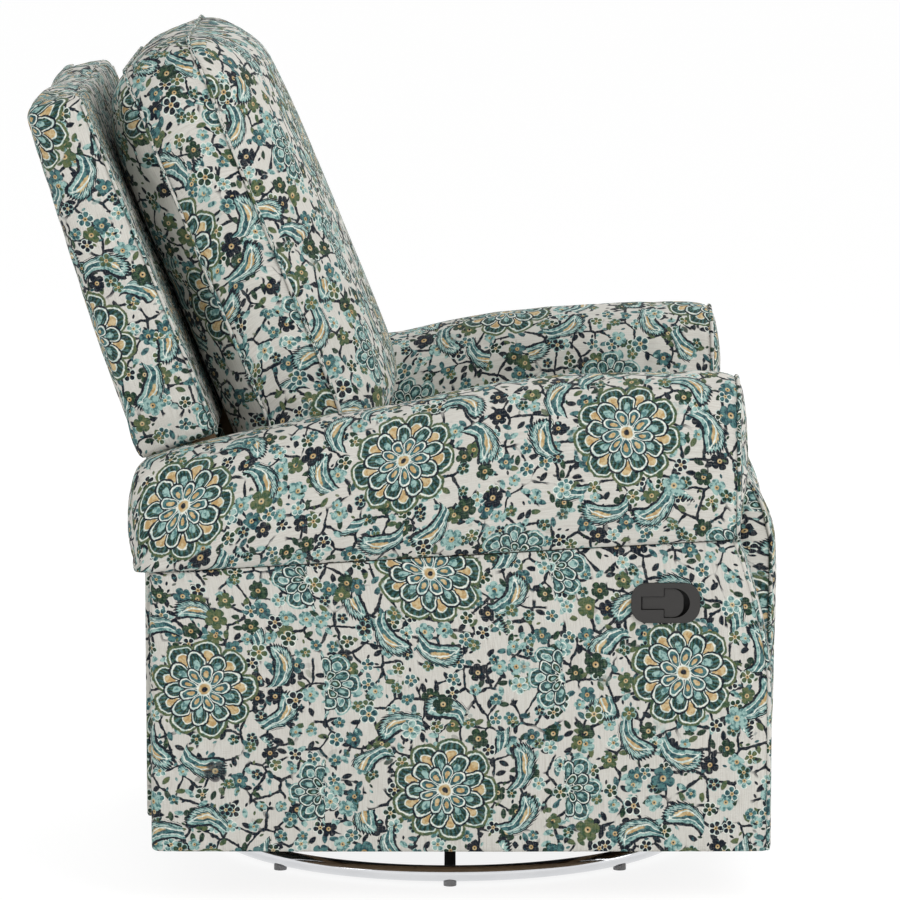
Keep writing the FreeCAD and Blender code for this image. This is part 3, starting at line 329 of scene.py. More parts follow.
    def blossoms(self, colour, pitch, size, amount, free=1.0):
        """Five-petalled flowers in mixed tones with a gold eye."""
        x, y, (kind, tone, grow) = self.scatter(pitch)
        radius = (x * x + y * y).root() / (grow * (size * 0.5) + size * 0.65)
        flower = self.petal(radius, y.angle(x) + tone * 6.0, 5, 0.56, 0.44, 0.36) + self.fray * 0.5
        here = free * kind.under(amount, 0.01)
        body = self.picked(tone, (self.teal, self.green, self.ink, self.sea, self.leaf_green))
        rim = self.picked(grow, (self.sea, self.foam, body))
        colour = self.lay(colour, flower.under(1.08, 0.06) * here, rim)
        colour = self.lay(colour, flower.under(0.84, 0.08) * here, body)
        colour = self.lay(colour, radius.under(0.26, 0.05) * here, self.gold)
        return self.lay(colour, radius.under(0.1, 0.03) * here, self.ink)

    def leaves(self, colour, pitch, size, amount, free=1.0):
        """Single leaves and berries that point every way."""
        x, y, (kind, tone, turn) = self.scatter(pitch)
        heading = turn * 6.283
        along = (x * heading.cos() + y * heading.sin()) / size
        across = (y * heading.cos() - x * heading.sin()) / (size * 0.5)
        leaf = (along * along + abs(across) ** 1.4).root() + self.fray * 0.6
        here = free * kind.under(amount, 0.01)
        body = self.picked(tone, (self.ink, self.teal, self.green, self.ink, self.sea, self.leaf_green))
        return self.lay(colour, leaf.under(1, 0.12) * here, body)

    def twigs(self, colour, pitch, thick, free=1.0):
        """A broken net of dark stems behind the small flowers."""
        settings = {"voronoi_dimensions": "2D", "feature": "DISTANCE_TO_EDGE"}
        edge = self.finish.node("ShaderNodeTexVoronoi", settings, {"Vector": self.cloth, "Scale": 1 / pitch},
                                out="Distance")
        swell = self.finish.noise(self.flat, 110.0, 2.0)
        kept = self.finish.noise(self.flat, 24.0, 1.0).over(0.44, 0.03)
        line = edge.under(swell * (2 * thick / pitch), 0.015) * kept
        return self.lay(colour, line * free, self.ink)


REPEAT_ACROSS = 0.29
REPEAT_DOWN = 0.27
BIG_FLOWER = 0.062
SMALL_FLOWER = 0.043
GARLAND_RING = 0.103


def floral_linen():
    """Ivory linen printed with blown flowers, curled leaves and strewn blossoms in blues and greens."""
    finish = Finish("floral_linen", 0.88, 0.0,
                    {"Sheen Weight": 0.03, "Sheen Roughness": 0.5, "Specular IOR Level": 0.15})
    motif = Print(finish)
    across = finish.part(motif.cloth, "X")
    down = finish.part(motif.cloth, "Y")
    column = (across / REPEAT_ACROSS).floor()
    drop = (column % 2) * 0.5
    x = ((across / REPEAT_ACROSS).fraction() - 0.5) * REPEAT_ACROSS
    y = ((down / REPEAT_DOWN + drop).fraction() - 0.5) * REPEAT_DOWN
    x_far = abs(x) - REPEAT_ACROSS / 2
    y_far = ((down / REPEAT_DOWN + drop + 0.5).fraction() - 0.5) * REPEAT_DOWN

    ground = motif.ground
    colour = motif.twigs(ground, 0.03, 0.0017)
    colour = motif.leaves(colour, 0.0135, 0.0066, 0.5)
    colour = motif.blossoms(colour, 0.024, 0.0098, 0.86)
    colour = motif.leaves(colour, 0.0095, 0.003, 0.22)
    colour, big = motif.rosette(colour, x, y, BIG_FLOWER, 9,
                                (motif.leaf_green, motif.green, motif.teal, motif.gold))
    colour, small = motif.rosette(colour, x_far, y_far, SMALL_FLOWER, 7,
                                  (motif.sea, motif.teal, motif.green, motif.sea))
    colour = motif.garland(colour, x, y, GARLAND_RING, 10, 0.03, 0.0125)
    colour = motif.blossoms(colour, 0.045, 0.0125, 0.34, (1 - big) * (1 - small))

    slub_down = finish.noise(finish.scaled(motif.flat, (1300, 45, 1)), 1.0, 1.0)
    slub_across = finish.noise(finish.scaled(motif.flat, (45, 1300, 1)), 1.0, 1.0)
    thin = (motif.brush * 0.6 + slub_down * slub_across * 2).over(0.9, 0.1) * 0.1
    colour = finish.mix(thin, colour, motif.ground)
    finish.paint(finish.shade(colour, 0.82 + motif.brush * 0.16 + slub_down * 0.09 + slub_across * 0.09))
    finish.bump(slub_down + slub_across + motif.brush * 0.8, 0.0009, 0.55)
    return finish.material


# Hard finishes

def coated_steel():
    finish = Finish("black_coated_steel", 0.42)
    place = finish.place()
    speckle = finish.noise(place, 900.0, 2.0)
    wear = finish.noise(place, 35.0, 4.0, 0.7).over(0.66, 0.06) * 0.35
    finish.paint(finish.mix(wear, linear(26, 26, 27), linear(52, 52, 54)))
    finish.put(finish.shader.inputs["Roughness"], 0.36 + speckle * 0.2)
    finish.bump(speckle, 0.0004, 0.35)
    return finish.material


def plated_steel():
    finish = Finish("zinc_plated_steel", 0.36, 0.9)
    place = finish.place()
    cloudy = finish.noise(place, 60.0, 4.0, 0.65)
    finish.paint(finish.mix(cloudy, linear(150, 152, 154), linear(196, 196, 192)))
    finish.put(finish.shader.inputs["Roughness"], 0.28 + cloudy * 0.22)
    return finish.material


def polished_chrome():
    finish = Finish("polished_chrome", 0.07, 1.0)
    place = finish.place()
    smear = finish.noise(finish.scaled(place, (1, 1, 4)), 24.0, 4.0, 0.6)
    finish.paint(finish.mix(smear, linear(206, 208, 211), linear(228, 229, 231)))
    finish.put(finish.shader.inputs["Roughness"], 0.04 + smear * 0.1)
    return finish.material


def moulded_plastic(name, dark, light, roughness):
    finish = Finish(name, roughness)
    place = finish.place()
    grain = finish.noise(place, 1600.0, 2.0)
    patch = finish.noise(place, 28.0, 2.0)
    finish.paint(finish.mix(patch, dark, light))
    finish.put(finish.shader.inputs["Roughness"], roughness - 0.06 + grain * 0.14)
    finish.bump(grain, 0.0002, 0.4)
    return finish.material


def sawn_timber():
    finish = Finish("sawn_timber", 0.7)
    place = finish.place()
    rings = finish.noise(finish.scaled(place, (60, 5, 60)), 1.0, 4.0, 0.65)
    pores = finish.noise(finish.scaled(place, (700, 40, 700)), 1.0, 2.0)
    tone = finish.mix(rings.over(0.5, 0.2), linear(142, 118, 88), linear(112, 88, 60))
    finish.paint(finish.shade(tone, 0.84 + pores * 0.3))
    finish.bump(pores + rings, 0.0006, 0.5)
    return finish.material


def woven_webbing():
    finish = Finish("woven_webbing", 0.85)
    place = finish.place()
    x, y = finish.part(place, "X"), finish.part(place, "Y")
    warp = (x * 2600).sin()
    weft = (y * 2600).sin()
    stripe = abs(((x / 0.092 + 0.5).fraction() - 0.5) * 0.092).under(0.006, 0.0006)
    finish.paint(finish.mix(stripe, linear(44, 42, 40), linear(150, 140, 122)))
    finish.bump(warp * weft, 0.0004, 0.6)
    return finish.material


FINISHES = {
    "upholstery": floral_linen(),
    "webbing": woven_webbing(),
    "timber": sawn_timber(),
    "chrome": polished_chrome(),
    "black_steel": coated_steel(),
    "zinc": plated_steel(),
    "grey_plastic": moulded_plastic("grey_plastic", linear(146, 147, 150), linear(160, 161, 163), 0.5),
    "handle_plastic": moulded_plastic("handle_plastic", linear(34, 32, 31), linear(40, 38, 36), 0.46),
    "cable_jacket": moulded_plastic("cable_jacket", linear(22, 22, 22), linear(34, 34, 34), 0.35),
}

for entry in frame["record"]["subparts"]:
    for holder in frame["nodes"][entry["node"]].material_slots:
        holder.material = FINISHES[entry["material_slot"]]


# Sewn pieces

class Sewing:
    """Collects the points, faces and cloth coordinates of one sewn piece. Its set of seams is made but
    nothing fills it.
    """

    def __init__(self):
        self.points = []
        self.faces = []
        self.cloth = []
        self.seams = set()

    def add(self, rows):
        """Stores rows of points and returns their numbers."""
        numbers = []
        for row in rows:
            numbers.append(list(range(len(self.points), len(self.points) + len(row))))
            self.points += [Vector(point) for point in row]
        return numbers

    def weave(self, rows, places):
        """Faces between rows of point numbers, with the cloth's own coordinates for each point."""
        for i in range(len(rows) - 1):
            for j in range(len(rows[i]) - 1):
                corners = ((i, j), (i, j + 1), (i + 1, j + 1), (i + 1, j))
                face = [rows[a][b] for a, b in corners]
                if len(set(face)) == 4:
                    self.faces.append(face)
                    self.cloth.append([places[a][b] for a, b in corners])

    def tube(self, rows, start=(0.0, 0.0)):
        """Closed loops joined into a sleeve."""
        numbers = self.add(rows)
        closed = [row + row[:1] for row in numbers]
        self.weave(closed, self.measured(closed, start))
        return numbers

    def measured(self, rows, start):
        """Cloth coordinates by length along the rows from their middle, and from row to row."""
        places = []
        height = start[1]
        for i, row in enumerate(rows):
            middle = len(row) // 2
            if i:
                height += (self.points[row[middle]] - self.points[rows[i - 1][middle]]).length
            steps = [0.0]
            for one, other in zip(row, row[1:]):
                steps.append(steps[-1] + (self.points[other] - self.points[one]).length)
            places.append([(start[0] + step - steps[middle], height) for step in steps])
        return places

    def cap(self, loop, out, dome, start=(0.0, 0.0), rings=7):
        """Closes a loop with rings that shrink towards its middle, domed outwards."""
        middle = sum((self.points[number] for number in loop), Vector()) / len(loop)
        side = X if abs(out.dot(X)) < 0.9 else Y
        side = (side - out * side.dot(out)).normalized()
        up = out.cross(side)
        rows = [loop]
        for ring in range(1, rings + 1):
            share = 1 - ring / rings
            height = out * dome * (1 - share ** 2.4)
            rows += self.add([[middle + (self.points[number] - middle) * share + height for number in loop]])
        closed = [row + row[:1] for row in rows]
        places = []
        for row in closed:
            offsets = [self.points[number] - middle for number in row]
            places.append([(start[0] + offset.dot(side), start[1] + offset.dot(up)) for offset in offsets])
        self.weave(closed, places)

    def make(self, name):
        mesh = bpy.data.meshes.new(name)
        mesh.from_pydata(self.points, [], self.faces)
        layer = mesh.uv_layers.new(name="cloth")
        for polygon, places in zip(mesh.polygons, self.cloth):
            for loop, place in zip(polygon.loop_indices, places):
                layer.data[loop].uv = place
        piece = bpy.data.objects.new(name, mesh)
        bpy.context.scene.collection.objects.link(piece)
        tidy = bmesh.new()
        tidy.from_mesh(mesh)
        bmesh.ops.remove_doubles(tidy, verts=tidy.verts, dist=0.00001)
        bmesh.ops.recalc_face_normals(tidy, faces=tidy.faces)
        tidy.to_mesh(mesh)
        tidy.free()
        return piece


CLOTH_THICK = 2.5 * MM
ARM_WELT = 2.4 * MM
CUSHION_WELT = 2.3 * MM
SHELL_WELT = 1.9 * MM


def finer(piece):
    smooth = piece.modifiers.new("finer", "SUBSURF")
    smooth.levels = 1
    smooth.render_levels = 1


def thickened(piece):
    shell = piece.modifiers.new("thickness", "SOLIDIFY")
    shell.thickness = CLOTH_THICK
    shell.offset = 0


def finished(piece, body, slot="upholstery"):
    """Gives a piece its material and its body."""
    piece.data.materials.clear()
    piece.data.materials.append(FINISHES[slot])
    for polygon in piece.data.polygons:
        polygon.use_smooth = True
    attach(piece, body)
    return piece


def billowed(piece, held, pressure, cap, slack=0.02, frames=16):
    """Blows the cloth out between its sewn lines. Past the cap a point hardly moves any further."""
    start = [vertex.co.copy() for vertex in piece.data.vertices]
    pins = piece.vertex_groups.new(name="sewn")
    pins.add([v.index for v in piece.data.vertices if held(v.co)], 1.0, "REPLACE")
    cloth = piece.modifiers.new("cloth", "CLOTH")
    settings = cloth.settings
    settings.quality = 6
    settings.mass = 0.25
    settings.tension_stiffness = 25
    settings.compression_stiffness = 25
    settings.shear_stiffness = 12
    settings.bending_stiffness = 0.35
    settings.vertex_group_mass = "sewn"
    settings.use_pressure = True
    settings.uniform_pressure_force = pressure
    settings.shrink_min = -slack
    settings.effector_weights.gravity = 0
    cloth.collision_settings.use_collision = False
    cloth.point_cache.frame_end = frames
    scene = bpy.context.scene
    for number in range(1, frames + 1):
        scene.frame_set(number)
    graph = bpy.context.evaluated_depsgraph_get()
    blown = piece.evaluated_get(graph).to_mesh()
    moved = [vertex.co.copy() for vertex in blown.vertices]
    piece.evaluated_get(graph).to_mesh_clear()
    piece.modifiers.remove(cloth)
    piece.vertex_groups.clear()
    for vertex, before, after in zip(piece.data.vertices, start, moved):
        shift = after - before
        if shift.length > cap:
            shift = shift.normalized() * (cap + (shift.length - cap) * 0.05)
        vertex.co = before + shift
    scene.frame_set(1)
    finer(piece)


def seam_tube(name, path, radius, body, closed=False, start=0.0):
    """Piping in the same cloth along a path of points."""
    sewing = Sewing()
    count = len(path)
    around = 8
    rows = []
    side = None
    for i, point in enumerate(path):
        before = path[(i - 1) % count] if closed or i else point
        after = path[(i + 1) % count] if closed or i < count - 1 else point
        along = (after - before).normalized()
        if side is None:
            side = along.orthogonal().normalized()
        side = (side - along * side.dot(along)).normalized()
        other = along.cross(side)
        rows.append([point + (side * math.cos(turn) + other * math.sin(turn)) * radius
                     for turn in (2 * math.pi * k / around for k in range(around))])
    if closed:
        rows.append(rows[0])
    numbers = sewing.tube(rows, (start, 0.0))
    if not closed:
        for loop, out in ((numbers[0], path[0] - path[1]), (numbers[-1], path[-1] - path[-2])):
            sewing.cap(loop, out.normalized(), radius * 0.5, rings=2)
    return finished(sewing.make(name), body)


def smooth_line(points, spacing=0.006):
    """A fine line of points along a smooth curve through a few."""
    line = []
    for i in range(len(points) - 1):
        before = points[max(i - 1, 0)]
        one, two = points[i], points[i + 1]
        after = points[min(i + 2, len(points) - 1)]
        steps = max(1, round((two - one).length / spacing))
        for step in range(steps):
            t = step / steps
            line.append(0.5 * ((2 * one) + (two - before) * t
                               + (2 * before - 5 * one + 4 * two - after) * t * t
                               + (3 * one - before - 3 * two + after) * t ** 3))
    line.append(points[-1])
    return line


def between(low, high, share):
    """A value that lies a share of the way from low to high."""
    return low + (high - low) * share


def eased(share):
    """A share of 0 to 1 that starts and ends gently."""
    return share * share * (3 - 2 * share)


def table(pairs, place):
    """A value read from a short list of (place, value) pairs, eased straight between them."""
    if place <= pairs[0][0]:
        return pairs[0][1]
    for (a, first), (b, second) in zip(pairs, pairs[1:]):
        if place <= b:
            return between(first, second, (place - a) / (b - a))
    return pairs[-1][1]


# Arm: the upholstered side and the pad on top

COVER_LOW, COVER_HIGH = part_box("arm_cover_left")
PAD_LOW, PAD_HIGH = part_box("arm_pad_left")
ARM_INNER, ARM_OUTER = COVER_LOW.x, COVER_HIGH.x
ARM_FRONT, ARM_REAR = COVER_LOW.y, COVER_HIGH.y
ARM_BOTTOM, ARM_TOP = COVER_LOW.z, COVER_HIGH.z
ARM_BEND = 0.318
BEND_BEGINS = ARM_BEND - 0.05
FRONT_CURVE = 1.6
ARM_TOP_FRONT = PAD_LOW.y + 4 * MM
ARM_REAR_TOP = PAD_LOW.z
SEAT_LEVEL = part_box("seat_side_rails")[1].z
SIDE_RAIL_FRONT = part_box("seat_side_rails")[0].y


def arm_front_edge(z):
    """How far forward the arm's side reaches at a height."""
    if z <= BEND_BEGINS:
        return ARM_FRONT
    share = min(1, (z - BEND_BEGINS) / (ARM_TOP - BEND_BEGINS))
    return between(ARM_FRONT, ARM_TOP_FRONT, share ** FRONT_CURVE)


def arm_seam_height(y):
    """Height of the line where the pad meets the side."""
    share = (y - ARM_TOP_FRONT) / (ARM_REAR - ARM_TOP_FRONT)
    return between(ARM_TOP, ARM_REAR_TOP + 1 * MM, min(max(share, 0), 1))


CUP_LOW, CUP_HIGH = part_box("handle_cup")
CUP_MIDDLE = (CUP_LOW + CUP_HIGH) / 2
NEAR_HANDLE = 0.08
FLAT_ROUND_HANDLE = 0.055
SLACK_FROM_THERE = 0.07
OUTSIDE_FROM = 0.39


def handle_opening():
    """The rounded outline that the handle's rim covers, drawn anticlockwise as seen along -X."""
    inset, corner = 2 * MM, 17 * MM
    half_y = (CUP_HIGH.y - CUP_LOW.y) / 2 - inset - corner
    half_z = (CUP_HIGH.z - CUP_LOW.z) / 2 - inset - corner
    outline = []
    for y, z, start in ((1, 1, 0), (-1, 1, 90), (-1, -1, 180), (1, -1, 270)):
        for step in range(5):
            turn = math.radians(start + 22.5 * step)
            outline.append(Vector((0, CUP_MIDDLE.y + y * half_y + corner * math.cos(turn),
                                   CUP_MIDDLE.z + z * half_z + corner * math.sin(turn))))
    return outline


def open_for_handle(piece):
    """Cuts the handle's opening out of the cloth on the outside of the arm."""
    outline = handle_opening()
    sides = [(one, (two - one).cross(X)) for one, two in zip(outline, outline[1:] + outline[:1])]
    mesh = bmesh.new()
    mesh.from_mesh(piece.data)

    def near(middle):
        return (middle - CUP_MIDDLE).yz.length < NEAR_HANDLE and middle.x < -OUTSIDE_FROM

    def close():
        return [face for face in mesh.faces if near(face.calc_center_median())]

    for point, out in sides:
        faces = close()
        geometry = faces + list({edge for face in faces for edge in face.edges})
        geometry += list({corner for face in faces for corner in face.verts})
        bmesh.ops.bisect_plane(mesh, geom=geometry, dist=0.000001, plane_co=point, plane_no=out)
    inside = [face for face in close()
              if all((face.calc_center_median() - point).dot(out) < 0 for point, out in sides)]
    bmesh.ops.delete(mesh, geom=inside, context="FACES")
    mesh.to_mesh(piece.data)
    mesh.free()


def arm_side(side, sign):
    """Cloth over the arm's outside, front and back, open below and turned in at its edges."""
    round_corner = 0.009
    turned_in = 0.07
    rows = []
    heights = [0, 0.004, 0.012] + [0.03 + 0.97 * step / 40 for step in range(41)]
    for number, share in enumerate(heights):
        tuck = (0.004, 0.001, 0)[number] if number < 3 else 0
        row = []
        front = arm_front_edge(between(ARM_BOTTOM, ARM_TOP, share)) + tuck
        rear = ARM_REAR - tuck
        outer = ARM_OUTER - 2 * MM - tuck
        inner = ARM_INNER + 1 * MM
        stations = [(inner + 0.006, front + turned_in), (inner, front + turned_in - 0.008)]
        stations += [(inner, y) for y in (front + 0.045, front + 0.025, front + round_corner)]
        stations.append((inner + 0.003, front + 0.003))
        stations += [(between(inner, outer, step / 12), front - 3 * MM * math.sin(math.pi * step / 12))
                     for step in range(1, 12)]
        stations += [(outer - 0.003, front + 0.003), (outer, front + round_corner)]
        for step in range(1, 66):
            y = between(front + round_corner, rear - round_corner, step / 66)
            stations.append((outer + 2.5 * MM * math.sin(math.pi * step / 66) ** 0.6, y))
        stations += [(outer, rear - round_corner), (outer - 0.003, rear - 0.003)]
        stations += [(between(outer, inner, step / 12), rear) for step in range(1, 12)]
        stations += [(inner, rear - 0.003), (inner, rear - round_corner), (inner + 0.004, rear - 0.05)]
        for x, y in stations:
            z = between(ARM_BOTTOM - 2 * MM + tuck, arm_seam_height(y) + 0.002, share)
            ripple = noise.noise(Vector((y * 9, z * 9, 3.1 * sign))) * 1.2 * MM
            from_handle = math.hypot(y - CUP_MIDDLE.y, z - CUP_MIDDLE.z)
            slack = 1
            if sign < 0 and x > OUTSIDE_FROM:
                slack = eased(min(max((from_handle - FLAT_ROUND_HANDLE) / SLACK_FROM_THERE, 0), 1))
            row.append(Vector((sign * (between(min(x, outer), x, slack) + ripple * slack), y, z)))
        rows.append(row)
    sewing = Sewing()
    numbers = sewing.add(rows)
    sewing.weave(numbers, sewing.measured(numbers, (0.11, 0.05 + 0.13 * (sign + 1))))
    piece = sewing.make("arm_side_%s" % side)
    if sign < 0:
        open_for_handle(piece)
    thickened(piece)
    finer(piece)
    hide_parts("arm_cover_%s" % side)
    finished(piece, "seat_box")
    for edge, x in (("outer", ARM_OUTER - 4 * MM), ("inner", ARM_INNER + 3 * MM)):
        path = []
        for step in range(80):
            z = between(ARM_BOTTOM + 2 * MM, ARM_TOP - 1 * MM, step / 79)
            path.append(Vector((sign * x, arm_front_edge(z) + 2 * MM, z)))
        seam_tube("arm_welt_%s_%s" % (edge, side), path, ARM_WELT, "seat_box")
    inner_panel(side, sign)


def inner_panel(side, sign):
    """The arm's inside above the seat rails."""
    rows = []
    for share in (0, 0.25, 0.5, 0.75, 1):
        row = []
        for step in range(40):
            y = between(SIDE_RAIL_FRONT - 8 * MM, ARM_REAR - 0.012, step / 39)
            x = ARM_INNER + 2 * MM + noise.noise(Vector((y * 11, share * 3, sign))) * MM
            row.append(Vector((sign * x, y, between(SEAT_LEVEL + 2 * MM, arm_seam_height(y) - MM, share))))
        rows.append(row)
    sewing = Sewing()
    numbers = sewing.add(rows)
    sewing.weave(numbers, sewing.measured(numbers, (0.4, 0.3)))
    piece = sewing.make("arm_inside_%s" % side)
    thickened(piece)
    finished(piece, "seat_box")


CROWN = [(-0.409, 0.6405), (-0.386, 0.6440), (-0.350, 0.6470), (-0.313, 0.6480), (-0.241, 0.6470),
         (-0.193, 0.6450), (-0.120, 0.6385), (-0.060, 0.628), (0.0, 0.615), (0.121, 0.595), (0.182, 0.581),
         (0.267, 0.558), (0.322, 0.540)]
CROWN_LINE = 0.352
SHOULDER_DROP = 0.072


def pad_section(y, shrink, sign):
    """Outline of the arm pad across the arm, from the bottom inner corner round over the crown."""
    foot = arm_seam_height(y) + 1.5 * MM
    crown = table(CROWN, y) - shrink
    outer = PAD_HIGH.x - 1.5 * MM - shrink * 0.6
    inner = PAD_LOW.x + MM + shrink * 0.6
    shoulder = max(crown - SHOULDER_DROP, foot + 0.03)
    middle = CROWN_LINE
    corner = 8 * MM
    line = [Vector((x, 0, foot)) for x in (inner + corner, between(inner, outer, 0.25), middle,
                                           between(inner, outer, 0.75), outer - corner)]
    line += [Vector((outer - 2.3 * MM, 0, foot + 1.6 * MM)), Vector((outer, 0, foot + corner))]
    for step in range(1, 7):
        share = step / 7
        full = 2 * MM * math.sin(math.pi * share)
        line.append(Vector((outer + full, 0, between(foot + corner, shoulder, share))))
    for step in range(0, 25):
        turn = math.pi * step / 24
        reach, full = (outer - middle, 0.72) if turn < math.pi / 2 else (middle - inner, 0.92)
        x = middle + reach * math.copysign(abs(math.cos(turn)) ** full, math.cos(turn))
        line.append(Vector((x, 0, shoulder + (crown - shoulder) * math.sin(turn) ** 0.8)))
    for step in range(1, 7):
        share = step / 7
        full = 2 * MM * math.sin(math.pi * share)
        line.append(Vector((inner - full, 0, between(shoulder, foot + corner, share))))
    line += [Vector((inner, 0, foot + corner)), Vector((inner + 2.3 * MM, 0, foot + 1.6 * MM))]
    return [Vector((sign * point.x, y, point.z)) for point in line]


def arm_pad(side, sign):
    front, rear = PAD_LOW.y + 2 * MM, PAD_HIGH.y - MM
    sewing = Sewing()
    rows = [pad_section(front, 1.5 * MM, sign)]
    rows += [pad_section(between(front, rear - 0.02, step / 62), 0, sign) for step in range(1, 63)]
    rows += [pad_section(rear - ease, shrink, sign)
             for ease, shrink in ((0.012, 2.5 * MM), (0.006, 6 * MM), (0.002, 11 * MM), (0, 17 * MM))]
    numbers = sewing.tube(rows, (0.02 + 0.09 * sign, 0.13))
    sewing.cap(numbers[0], -Y, 7 * MM, (0.31 + 0.2 * sign, 0.2), rings=8)
    sewing.cap(numbers[-1], Y, 3 * MM, rings=6)
    piece = sewing.make("arm_cushion_%s" % side)

    def held(point):
        return abs(point.y - front) < 0.5 * MM or point.z < arm_seam_height(point.y) + 6 * MM

    billowed(piece, held, pressure=2.2, cap=7 * MM)
    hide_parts("arm_pad_%s" % side)
    finished(piece, "seat_box")
    edge = [point + (point - Vector((sign * 0.34, front, 0.54))).normalized() * 1.2 * MM for point in rows[0]]
    ring = smooth_line(edge + edge[:1])[:-1]
    seam_tube("arm_cushion_welt_%s" % side, ring, ARM_WELT, "seat_box", closed=True)


# Boxed cushions: a crowned front, a band round the edge and a back, sewn along two lines

def rounded_place(across, up, half, height, corner_top, corner_low):
    """A point of a panel with rounded corners, from a square's coordinates of -1 to 1."""
    x = half * across
    s = height / 2 * (up + 1)
    corner = corner_top if up > 0 else corner_low
    over_x = (abs(x) - (half - corner)) / corner
    over_s = (s - (height - corner)) / corner if up > 0 else (corner - s) / corner
    if over_x > 0 and over_s > 0:
        new_x = over_x * math.sqrt(1 - over_s ** 2 / 2)
        new_s = over_s * math.sqrt(1 - over_x ** 2 / 2)
        x = math.copysign(half - corner + corner * new_x, across)
        s = height - corner + corner * new_s if up > 0 else corner - corner * new_s
    return x, s


def boxed(name, half, height, corners, profile, depth, front, back, columns=38, lines=40, start=(0.0, 0.0)):
    """Sews a boxed cushion. The profile gives a seam point and its outward direction at a height s;
    front and back give how far each face stands out at a place of -1 to 1 across and up."""
    sewing = Sewing()
    faces = {}
    for face, sign in (("front", 1), ("back", -1)):
        rows, places = [], []
        for i in range(lines + 1):
            up = -1 + 2 * i / lines
            row, place = [], []
            for j in range(columns + 1):
                across = -1 + 2 * j / columns
                x, s = rounded_place(across, up, half, height, *corners)
                origin, out = profile(s)
                rise = front(across, up) if sign > 0 else back(across, up)
                base = origin + X * x
                row.append(base + out * rise if sign > 0 else base - out * (depth(s) + rise))
                place.append((start[0] + x * sign, start[1] + s))
            rows.append(row)
            places.append(place)
        numbers = sewing.add(rows)
        sewing.weave(numbers, places)
        faces[face] = numbers
    rings = [ring_of(faces[face]) for face in ("front", "back")]
    steps = 8
    band = [rings[0]]
    for step in range(1, steps):
        share = step / steps
        row = []
        for one, two in zip(*rings):
            point = sewing.points[one].lerp(sewing.points[two], share)
            origin, out = profile(height / 2)
            away = Vector((point.x, 0, 0)) + (point - origin) * 0.4
            away = (away - out * away.dot(out)).normalized()
            row.append(point + away * 5 * MM * math.sin(math.pi * share))
        band += sewing.add([row])
    band.append(rings[1])
    closed = [row + row[:1] for row in band]
    sewing.weave(closed, sewing.measured(closed, (start[0] + 0.17, start[1] + 0.4)))
    seams = [[sewing.points[number].copy() for number in ring] for ring in rings]
    return sewing.make(name), seams


def ring_of(rows):
    """The outermost point numbers of a grid, in order round it."""
    return (rows[0][:-1] + [row[-1] for row in rows[:-1]] + rows[-1][:0:-1] + [row[0] for row in rows[:0:-1]])


def near_seams(seams):
    """Tells whether a point lies on one of the sewn lines."""
    held = {tuple(round(part, 5) for part in point) for seam in seams for point in seam}
    return lambda point: tuple(round(part, 5) for part in point) in held


def welts(name, seams, radius, body, sides=("front", "back")):
    for label, seam in zip(sides, seams):
        middle = sum(seam, Vector()) / len(seam)
        ring = [point + (point - middle).normalized() * radius * 0.5 for point in seam]
        seam_tube("%s_%s" % (name, label), ring, radius, body, closed=True)


def falloff(place, power, edge):
    """1 in the middle of a panel and 0 on its edge."""
    return max(0.0, 1 - abs(place) ** power) ** edge


BACK_SEAM = [(0.0, 0.052, 0.518), (0.03, 0.064, 0.552), (0.09, 0.083, 0.609), (0.30, 0.1625, 0.803),
             (0.45, 0.218, 0.938), (0.50, 0.234, 0.985), (0.56, 0.262, 1.038)]
BACK_HEIGHT = BACK_SEAM[-1][0]
BACK_DEPTH = 0.088
BACK_FRONT_CROWN = 0.062
BACK_REAR_CROWN = 0.044
SEAT_CROWN = 0.027
FOOTREST_CROWN = 0.0065


def back_profile(s):
    y = table([(a, b) for a, b, c in BACK_SEAM], s)
    z = table([(a, c) for a, b, c in BACK_SEAM], s)
    step = 0.03
    y_next = table([(a, b) for a, b, c in BACK_SEAM], s + step)
    z_next = table([(a, c) for a, b, c in BACK_SEAM], s + step)
    y_last = table([(a, b) for a, b, c in BACK_SEAM], s - step)
    z_last = table([(a, c) for a, b, c in BACK_SEAM], s - step)
    along = Vector((0, y_next - y_last, z_next - z_last)).normalized()
    return Vector((0, y, z)), Vector((0, -along.z, along.y))


def back_cushion():
    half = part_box("back_cushion")[1].x - 3 * MM

    def front(across, up):
        low = 1 - max(0.0, -up) ** 9
        high = falloff(max(up, 0), 5.5, 0.55)
        return BACK_FRONT_CROWN * falloff(across, 2.6, 0.62) * (low ** 0.5) * high

    def back(across, up):
        return BACK_REAR_CROWN * falloff(across, 5, 0.5) * falloff(up, 12 if up < 0 else 6, 0.5)

    piece, seams = boxed("back_pillow", half, BACK_HEIGHT, (0.072, 0.03), back_profile,
                         lambda s: BACK_DEPTH, front, back, start=(0.155, 0.02))
    billowed(piece, near_seams(seams), pressure=2.4, cap=11 * MM, slack=0.025)
    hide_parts("back_cushion")
    finished(piece, "back")
    welts("back_pillow_welt", seams, CUSHION_WELT, "back")


def seat_cushion():
    low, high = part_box("seat_cushion")
    thick = high.z - low.z

    def profile(s):
        """The top seam runs back from the front edge, and out is up."""
        return Vector((0, low.y + 6 * MM + s, high.z - 30 * MM)), Z

    def front(across, up):
        return SEAT_CROWN * falloff(across, 4, 0.6) * falloff(up, 5, 0.6)

    def back(across, up):
        return 0.0

    piece, seams = boxed("seat_pad", high.x - 3 * MM, high.y - low.y - 14 * MM, (0.03, 0.035), profile,
                         lambda s: thick - 32 * MM, front, back, start=(0.155, 0.1))
    sewn = near_seams(seams)
    billowed(piece, lambda p: sewn(p) or p.z < low.z + 6 * MM, pressure=2.2, cap=6 * MM)
    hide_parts("seat_cushion")
    finished(piece, "seat_box")
    welts("seat_pad_welt", seams[:1], CUSHION_WELT, "seat_box")


